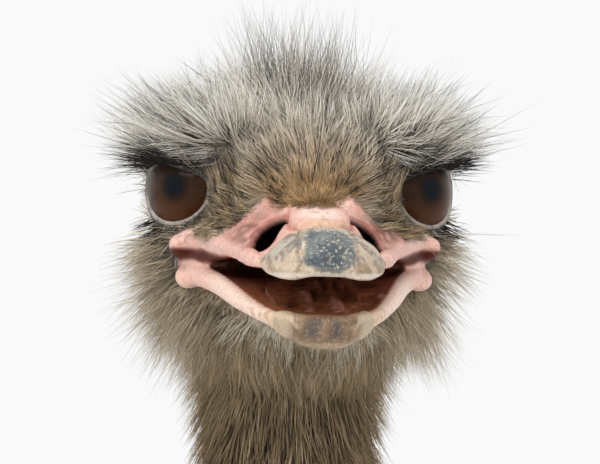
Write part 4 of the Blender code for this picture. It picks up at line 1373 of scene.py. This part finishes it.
coat_piece("cheek_coat", [
    make_coat(14900, cheek * (1 + 0.8 * smooth(x, 28, 36)), cheek_length, cheek_lift, 0.28,
              cheek_root, cheek_tip, fall=0.15, clump=0.35, spread=0.2),
    make_coat(2700, cheek * smooth(x, 24, 34) * smooth(-z, 10, 20) * fade(-z, 46, 60), 31, 46, 0.22,
              "#9c8a70", "#d0bfa6", spread=0.32, fall=0.1, tuft=8),
    make_coat(2600, under_bill, lambda q: by_reach(q, (0, 30, 60), (8, 11, 15)), 24, 0.26,
              "#a8977a", "#efe6d2", fall=0.25, clump=0.35, spread=0.2),
], head_unwrap)

# ---------------------------------------------------------------------------
# Lashes: black bristles in five rows along the upper lid, swept out sideways, and
# two rows below. Short dark and grey bristles fill the front corner of the eye.
# ---------------------------------------------------------------------------


LASH_WIDTH = 0.30                                          # mm


def lash_row(side, count, inner, outer, gap_at, below_eye, length, way_out, lift_up):
    """Lashes from one angle round the eye to another, where lid_gap is about gap_at."""
    turn = rng.uniform(inner, outer, count)
    tall, power = (GAP_DOWN, CURVE_DOWN) if below_eye else (GAP_UP + 2, CURVE_UP)
    edge = gap_at + rng.uniform(0, 0.16, count)
    high = edge * tall * np.clip(1 - np.abs(turn / GAP_HALF / edge) ** power, 0, 1) ** (1 / power)
    high = np.radians(-high if below_eye else high)
    azimuth = LOOK_OUT + np.radians(turn)
    out = np.stack([side * np.sin(azimuth) * np.cos(high), -np.cos(azimuth) * np.cos(high), np.sin(high)], 1)
    root = place((side * EYE_AT[0], EYE_AT[1], EYE_AT[2]) + out * (EYE_SIZE + 1.2))
    way = unit(0.7 * out + np.array([side * way_out, 0.15, lift_up]) + 0.2 * rng.normal(size=(count, 3)))
    size = length * rng.uniform(0.5, 1.3, count) * (0.75 + 0.25 * smooth(turn, -10, 30))
    pull = np.tile([side * 0.35, 0.25, 0.0 if below_eye else -0.15], (count, 1))
    points, share = strands(root, way, out, size * MM, LASH_WIDTH * MM * rng.uniform(0.7, 1.3, count), pull,
                            wave=0.03)
    return points, share, root, shaded(share, root, "#1a1613", "#0c0b0a", rng.uniform(0.7, 2.0, count) ** 2)


def from_eye(p, nrm):
    """Away from the eye over the skin."""
    return tangent(unit(eye_angles(face_mm(p))[3]), nrm)


UPPER_ROWS = ((0.97, 9, 1.3, -0.05), (1.06, 13, 1.1, 0.0), (1.18, 15, 1.0, 0.08), (1.34, 13, 1.0, 0.2),
              (1.56, 12, 1.0, 0.3))
lashes = []
for side in (-1, 1):
    for gap_at, length, way_out, lift_up in UPPER_ROWS:
        lashes.append(lash_row(side, 62, -46, 46, gap_at, False, length, way_out, lift_up))
    lashes.append(lash_row(side, 90, -30, 44, 1.20, True, 7, 0.9, -0.25))
    lashes.append(lash_row(side, 90, -10, 44, 1.38, True, 9, 0.9, -0.35))
round_, up, out, _ = eye_angles(q)
gap = lid_gap(q)
front_corner = ((out < EYE_SIZE + 9) * (round_ < 20) * (up < 26) * (gap > 1.05) * fade(gap, 1.6, 1.85)
                * (y < 12))
corner_way = dict(flow=from_eye, tuft=4, gather=0.4, clear=False)
lashes += [make_coat(1100, front_corner, 5.5, 26, 0.20, *DARK, **corner_way),
           make_coat(900, front_corner, 5, 24, 0.20, "#8f8a84", "#d5d0c8", **corner_way)]
coat_piece("lashes", lashes, head_unwrap)

# ---------------------------------------------------------------------------
# Neck: short bristly feathers that lie down it, mottled dark on tan. Dense and
# fine under the head, and longer and coarser where they run into the plumage.
# ---------------------------------------------------------------------------


def laid_flat(turn, along):
    """A place on the flat layout, from an angle round and a share of the way along."""
    return np.stack([0.5 + 0.49 * turn / math.pi, np.clip(along, 0, 1) * 0.98 + 0.01], axis=1)


def neck_unwrap(root):
    """The neck's skin cut down the back and laid flat: angle round it against height."""
    middle = np.interp(root[:, 2], (1.2, 1.35, 1.8), (-0.39, -0.53, -0.53))
    return laid_flat(np.arctan2(root[:, 0], -(root[:, 1] - middle)), (root[:, 2] - 1.1) / 0.75)


def neck_coat(name, count, density, length, width, lift):
    """A piece of coat that lies down the neck."""
    p, nrm = roots(count, density)
    q = face_mm(p)
    z = q[:, 2]
    down = tangent(np.tile([0.0, 0.12, -1.0], (count, 1)), nrm)
    angle = np.radians(of(lift, -z) + rng.normal(0, 6, count))
    way = down * np.cos(angle)[:, None] + nrm * np.sin(angle)[:, None]
    way = unit(way + 0.25 * tufted(p, 6.0, 60) + 0.15 * rng.normal(size=(count, 3)))
    tall = of(length, -z)
    size = tall * rng.uniform(0.6, 1.2, count)
    points, share = strands(p - nrm * ROOT_DEPTH, way, nrm, size * MM,
                            width * MM * rng.uniform(0.7, 1.3, count), 0.5 * down,
                            rings=2, wave=0.03, skin_below=ON_BODY if tall.max() > 30 else None)
    drawn = q * (1, 1, 0.6)
    patch = noise(drawn, 4.2, 61) + 0.6 * noise(drawn, 2.2, 62) + 0.3 * rng.normal(0, 0.7, count)
    root_colour = painted(q, "#564530", ("#78644a", smooth(patch, -0.2, 0.7)))
    tip_colour = painted(q, "#765f44", ("#ceb68f", smooth(patch, -0.1, 0.7)),
                         ("#b7a281", smooth(z, -105, -50) * 0.8), ("#b0a08a", smooth(-z, 250, 420) * 0.5))
    light = np.clip(rng.normal(1.0, 0.18, count), 0.5, 1.5)
    colour = shaded(share, q, root_colour, tip_colour, light)
    coat_piece(name, [(points, share, p, colour)], neck_unwrap)


on_neck = (middles[:, 2] > 1.20) & (middles[:, 1] < -0.32)
neck_coat("upper_neck_coat", 13000,
          on_neck * smooth(z, -170, -150) * smooth(-z, 38, 55) * smooth(y, -40, -20),
          lambda down: np.interp(down, (40, 70, 140), (21, 16, 15)), 0.5,
          lambda down: np.interp(down, (40, 80), (36, 33)))
neck_coat("lower_neck_coat", 11500, on_neck * smooth(-z, 110, 140),
          lambda down: np.interp(down, (120, 380, 480, 600), (16, 22, 42, 60)), 1.3,
          lambda down: np.interp(down, (120, 500), (16, 20)))

# ---------------------------------------------------------------------------
# Body: loose drooping plumes in layers, each a shaft with soft separate barbs.
# Hens are grey-brown with paler edges, and dirty white on the wings and tail.
# ---------------------------------------------------------------------------

BOX_LOW, BOX_HIGH = (np.array(corner) for corner in cad_box)
MIDDLE = 1.03                                              # height of the trunk's axis
LOFT = 0.045                                               # how far plumes may stand off the back


def hold_in(points):
    """Presses the outermost barbs in, so that the plumage keeps the bird's real breadth and length."""
    low, high = BOX_LOW - (0.012, 0.02, 0), BOX_HIGH + (0.012, 0.03, 0.01)
    middle, half = (low + high) / 2, (high - low) / 2
    far = (points - middle) / half
    pressed = np.sign(far) * (0.8 + 0.2 * np.tanh((np.abs(far) - 0.8) / 0.2))
    return middle + half * np.where(np.abs(far) > 0.8, pressed, far)


def plumes(count, density, length, broad, flow, lift, barbs, width, root_colour, tip_colour, droop=0.35):
    """Groups of barbs on both sides of curved shafts: lengths in metres, lift in degrees."""
    p, nrm = roots(count, density)
    way_on = tangent(flow(p), nrm)
    angle = np.radians(lift + rng.normal(0, 5, count))
    way = way_on * np.cos(angle)[:, None] + nrm * np.sin(angle)[:, None]
    way = unit(way + 0.2 * rng.normal(size=(count, 3)))
    way[:, 2] = np.minimum(way[:, 2], np.maximum(0.22, way_on[:, 2] + 0.3))
    size = of(length, p) * rng.uniform(0.75, 1.15, count)
    pull = -0.55 * np.sin(angle)[:, None] * nrm + np.array([0, 0, -droop])
    for _ in range(2):
        # A shaft whose tip would stand too far off the back is laid lower
        ends = p + size[:, None] * (way + 0.5 * pull)
        near = np.array([ON_BODY[0].find(point)[1] for point in ends])
        place_near, normal_near = ON_BODY[1][near], ON_BODY[2][near]
        height = ((ends - place_near) * normal_near).sum(axis=1)
        high = (normal_near[:, 2] > 0.1) * np.maximum(0, height - np.minimum(LOFT, 0.3 * size))
        way = unit(way - normal_near * (high / size)[:, None])
    side = unit(np.cross(way, nrm))
    t = np.repeat(0.18 + 0.82 * (np.arange(barbs // 2) + 0.5) / (barbs // 2), 2)
    hand = np.tile([-1.0, 1.0], barbs // 2)
    jitter = rng.uniform(-0.03, 0.03, (count, barbs))
    tt = np.clip(t + jitter, 0, 1)[:, :, None]
    start = p[:, None] + size[:, None, None] * (way[:, None] * tt + 0.5 * pull[:, None] * tt ** 2)
    ahead = unit((way[:, None] + pull[:, None] * tt).reshape(-1, 3))
    fan = np.radians(58 - 44 * t + rng.normal(0, 7, (count, barbs))).reshape(-1, 1)
    sideways = (hand[None, :, None] * side[:, None] * np.ones((count, barbs, 1))).reshape(-1, 3)
    along = unit(ahead * np.cos(fan) + sideways * np.sin(fan) + 0.10 * rng.normal(size=(count * barbs, 3)))
    reach = of(broad, p)[:, None] * (0.55 + 0.75 * np.sin(np.pi * np.clip(t * 0.9 + 0.08, 0, 1)))[None]
    reach = (reach * rng.uniform(0.75, 1.2, (count, barbs))).reshape(-1)
    points, share = strands(start.reshape(-1, 3), along, np.repeat(nrm, barbs, axis=0), reach,
                            width * rng.uniform(0.7, 1.3, count * barbs),
                            0.55 * ahead - 0.35 * sideways + np.array([0, 0, -droop]),
                            rings=2, flat=0.3, wave=0.04, skin_below=ON_BODY)
    light = np.clip(rng.normal(1.0, 0.12, count), 0.6, 1.4)
    light = np.repeat(light, barbs) * np.clip(rng.normal(1.0, 0.10, count * barbs), 0.7, 1.3)
    low = np.repeat(root_colour(p), barbs, axis=0)
    high = np.repeat(tip_colour(p), barbs, axis=0)
    out = 0.35 * np.tile(t, count)[:, None]
    root = np.repeat(p, barbs, axis=0)
    return hold_in(points), share, root, shaded(share, root, low * (1 - out) + high * out, high, light, 1.2)


def body_flow(p):
    """Backwards along the trunk, falling at the sides, and down the breast."""
    high = np.clip((p[:, 2] - MIDDLE) / 0.2, -1, 1)
    fall = -0.75 + 0.55 * smooth(high, 0.2, 1.0)
    breast = fade(p[:, 1], -0.42, -0.20)
    outwards = 0.35 * np.sign(p[:, 0]) * smooth(np.abs(p[:, 0]), 0.0, 0.05) * smooth(high, 0.3, 1.0)
    return unit(np.stack([outwards, 0.9 - 0.5 * breast, fall - 0.7 * breast], axis=1))


def tail_flow(p):
    """The tail's plumes hang nearly straight down."""
    return np.tile([0.0, 0.6, -0.8], (len(p), 1))


def plume_length(p):
    """Short on the base of the neck, longest on the back."""
    size = np.interp(p[:, 1], (-0.52, -0.42, -0.25, 0.1), (0.05, 0.075, 0.12, 0.15))
    return size * (1 - 0.3 * smooth(p[:, 2], 1.25, 1.36))


def brown_root(p):
    return painted(p, "#4a4036", ("#5c5145", smooth(noise(p, 0.12, 70), -0.3, 0.6)))


def brown_tip(p):
    return painted(p, "#8b7d6c", ("#a69a88", smooth(noise(p, 0.15, 71), -0.2, 0.7)),
                   ("#b9ae9c", smooth(-p[:, 2], -0.95, -0.80)))


def wing_tip(p):
    return painted(p, brown_tip(p), ("#ded6c9", smooth(p[:, 1], -0.05, 0.28)))


def tail_root(p):
    return painted(p, "#8b8072")


def tail_tip(p):
    return painted(p, "#e2dacc")


def trunk_unwrap(root):
    """The trunk's skin cut along the belly and laid flat: angle round it against distance along it."""
    return laid_flat(np.arctan2(root[:, 0], root[:, 2] - MIDDLE), (root[:, 1] + 0.6) / 1.35)


# How thickly plumes grow: not on the thighs, thicker at the foot of the neck, fading up it
across, along, high = middles.T
on_trunk = (high > 0.72) & (high < 1.42) & (along > -0.60)
thigh = (np.abs(across) > 0.08) & (high < 0.80)
on_trunk = on_trunk * ~thigh * smooth(1.42 - high, 0, 0.10)
on_trunk *= 1 + 2.5 * fade(np.hypot((along + 0.38) / 0.14, (high - 1.16) / 0.08), 0.4, 1.0)
on_body = on_trunk * fade(along, 0.42, 0.48)
behind = along >= -0.20
for name, count, region in (("breast_plumes", 1000, ~behind), ("back_plumes", 1000, behind & (high > 1.08)),
                            ("belly_plumes", 880, behind & (high <= 1.08))):
    coat_piece(name, [
        plumes(count, on_body * region, plume_length, lambda p: plume_length(p) * 0.34, body_flow, 24, 18,
               0.0040, brown_root, brown_tip)], trunk_unwrap)
on_wing = on_trunk * (np.abs(across) > 0.15) * smooth(along, -0.22, 0.0) * (high > 0.82)
on_tail = on_trunk * smooth(along, 0.32, 0.40)
coat_piece("wing_plumes", [
    plumes(520, on_wing, 0.20, 0.07, body_flow, 18, 26, 0.0045, brown_root, wing_tip)], trunk_unwrap)
coat_piece("tail_plumes", [
    plumes(440, on_tail, 0.20, 0.07, tail_flow, 20, 26, 0.0045, tail_root, tail_tip)], trunk_unwrap)
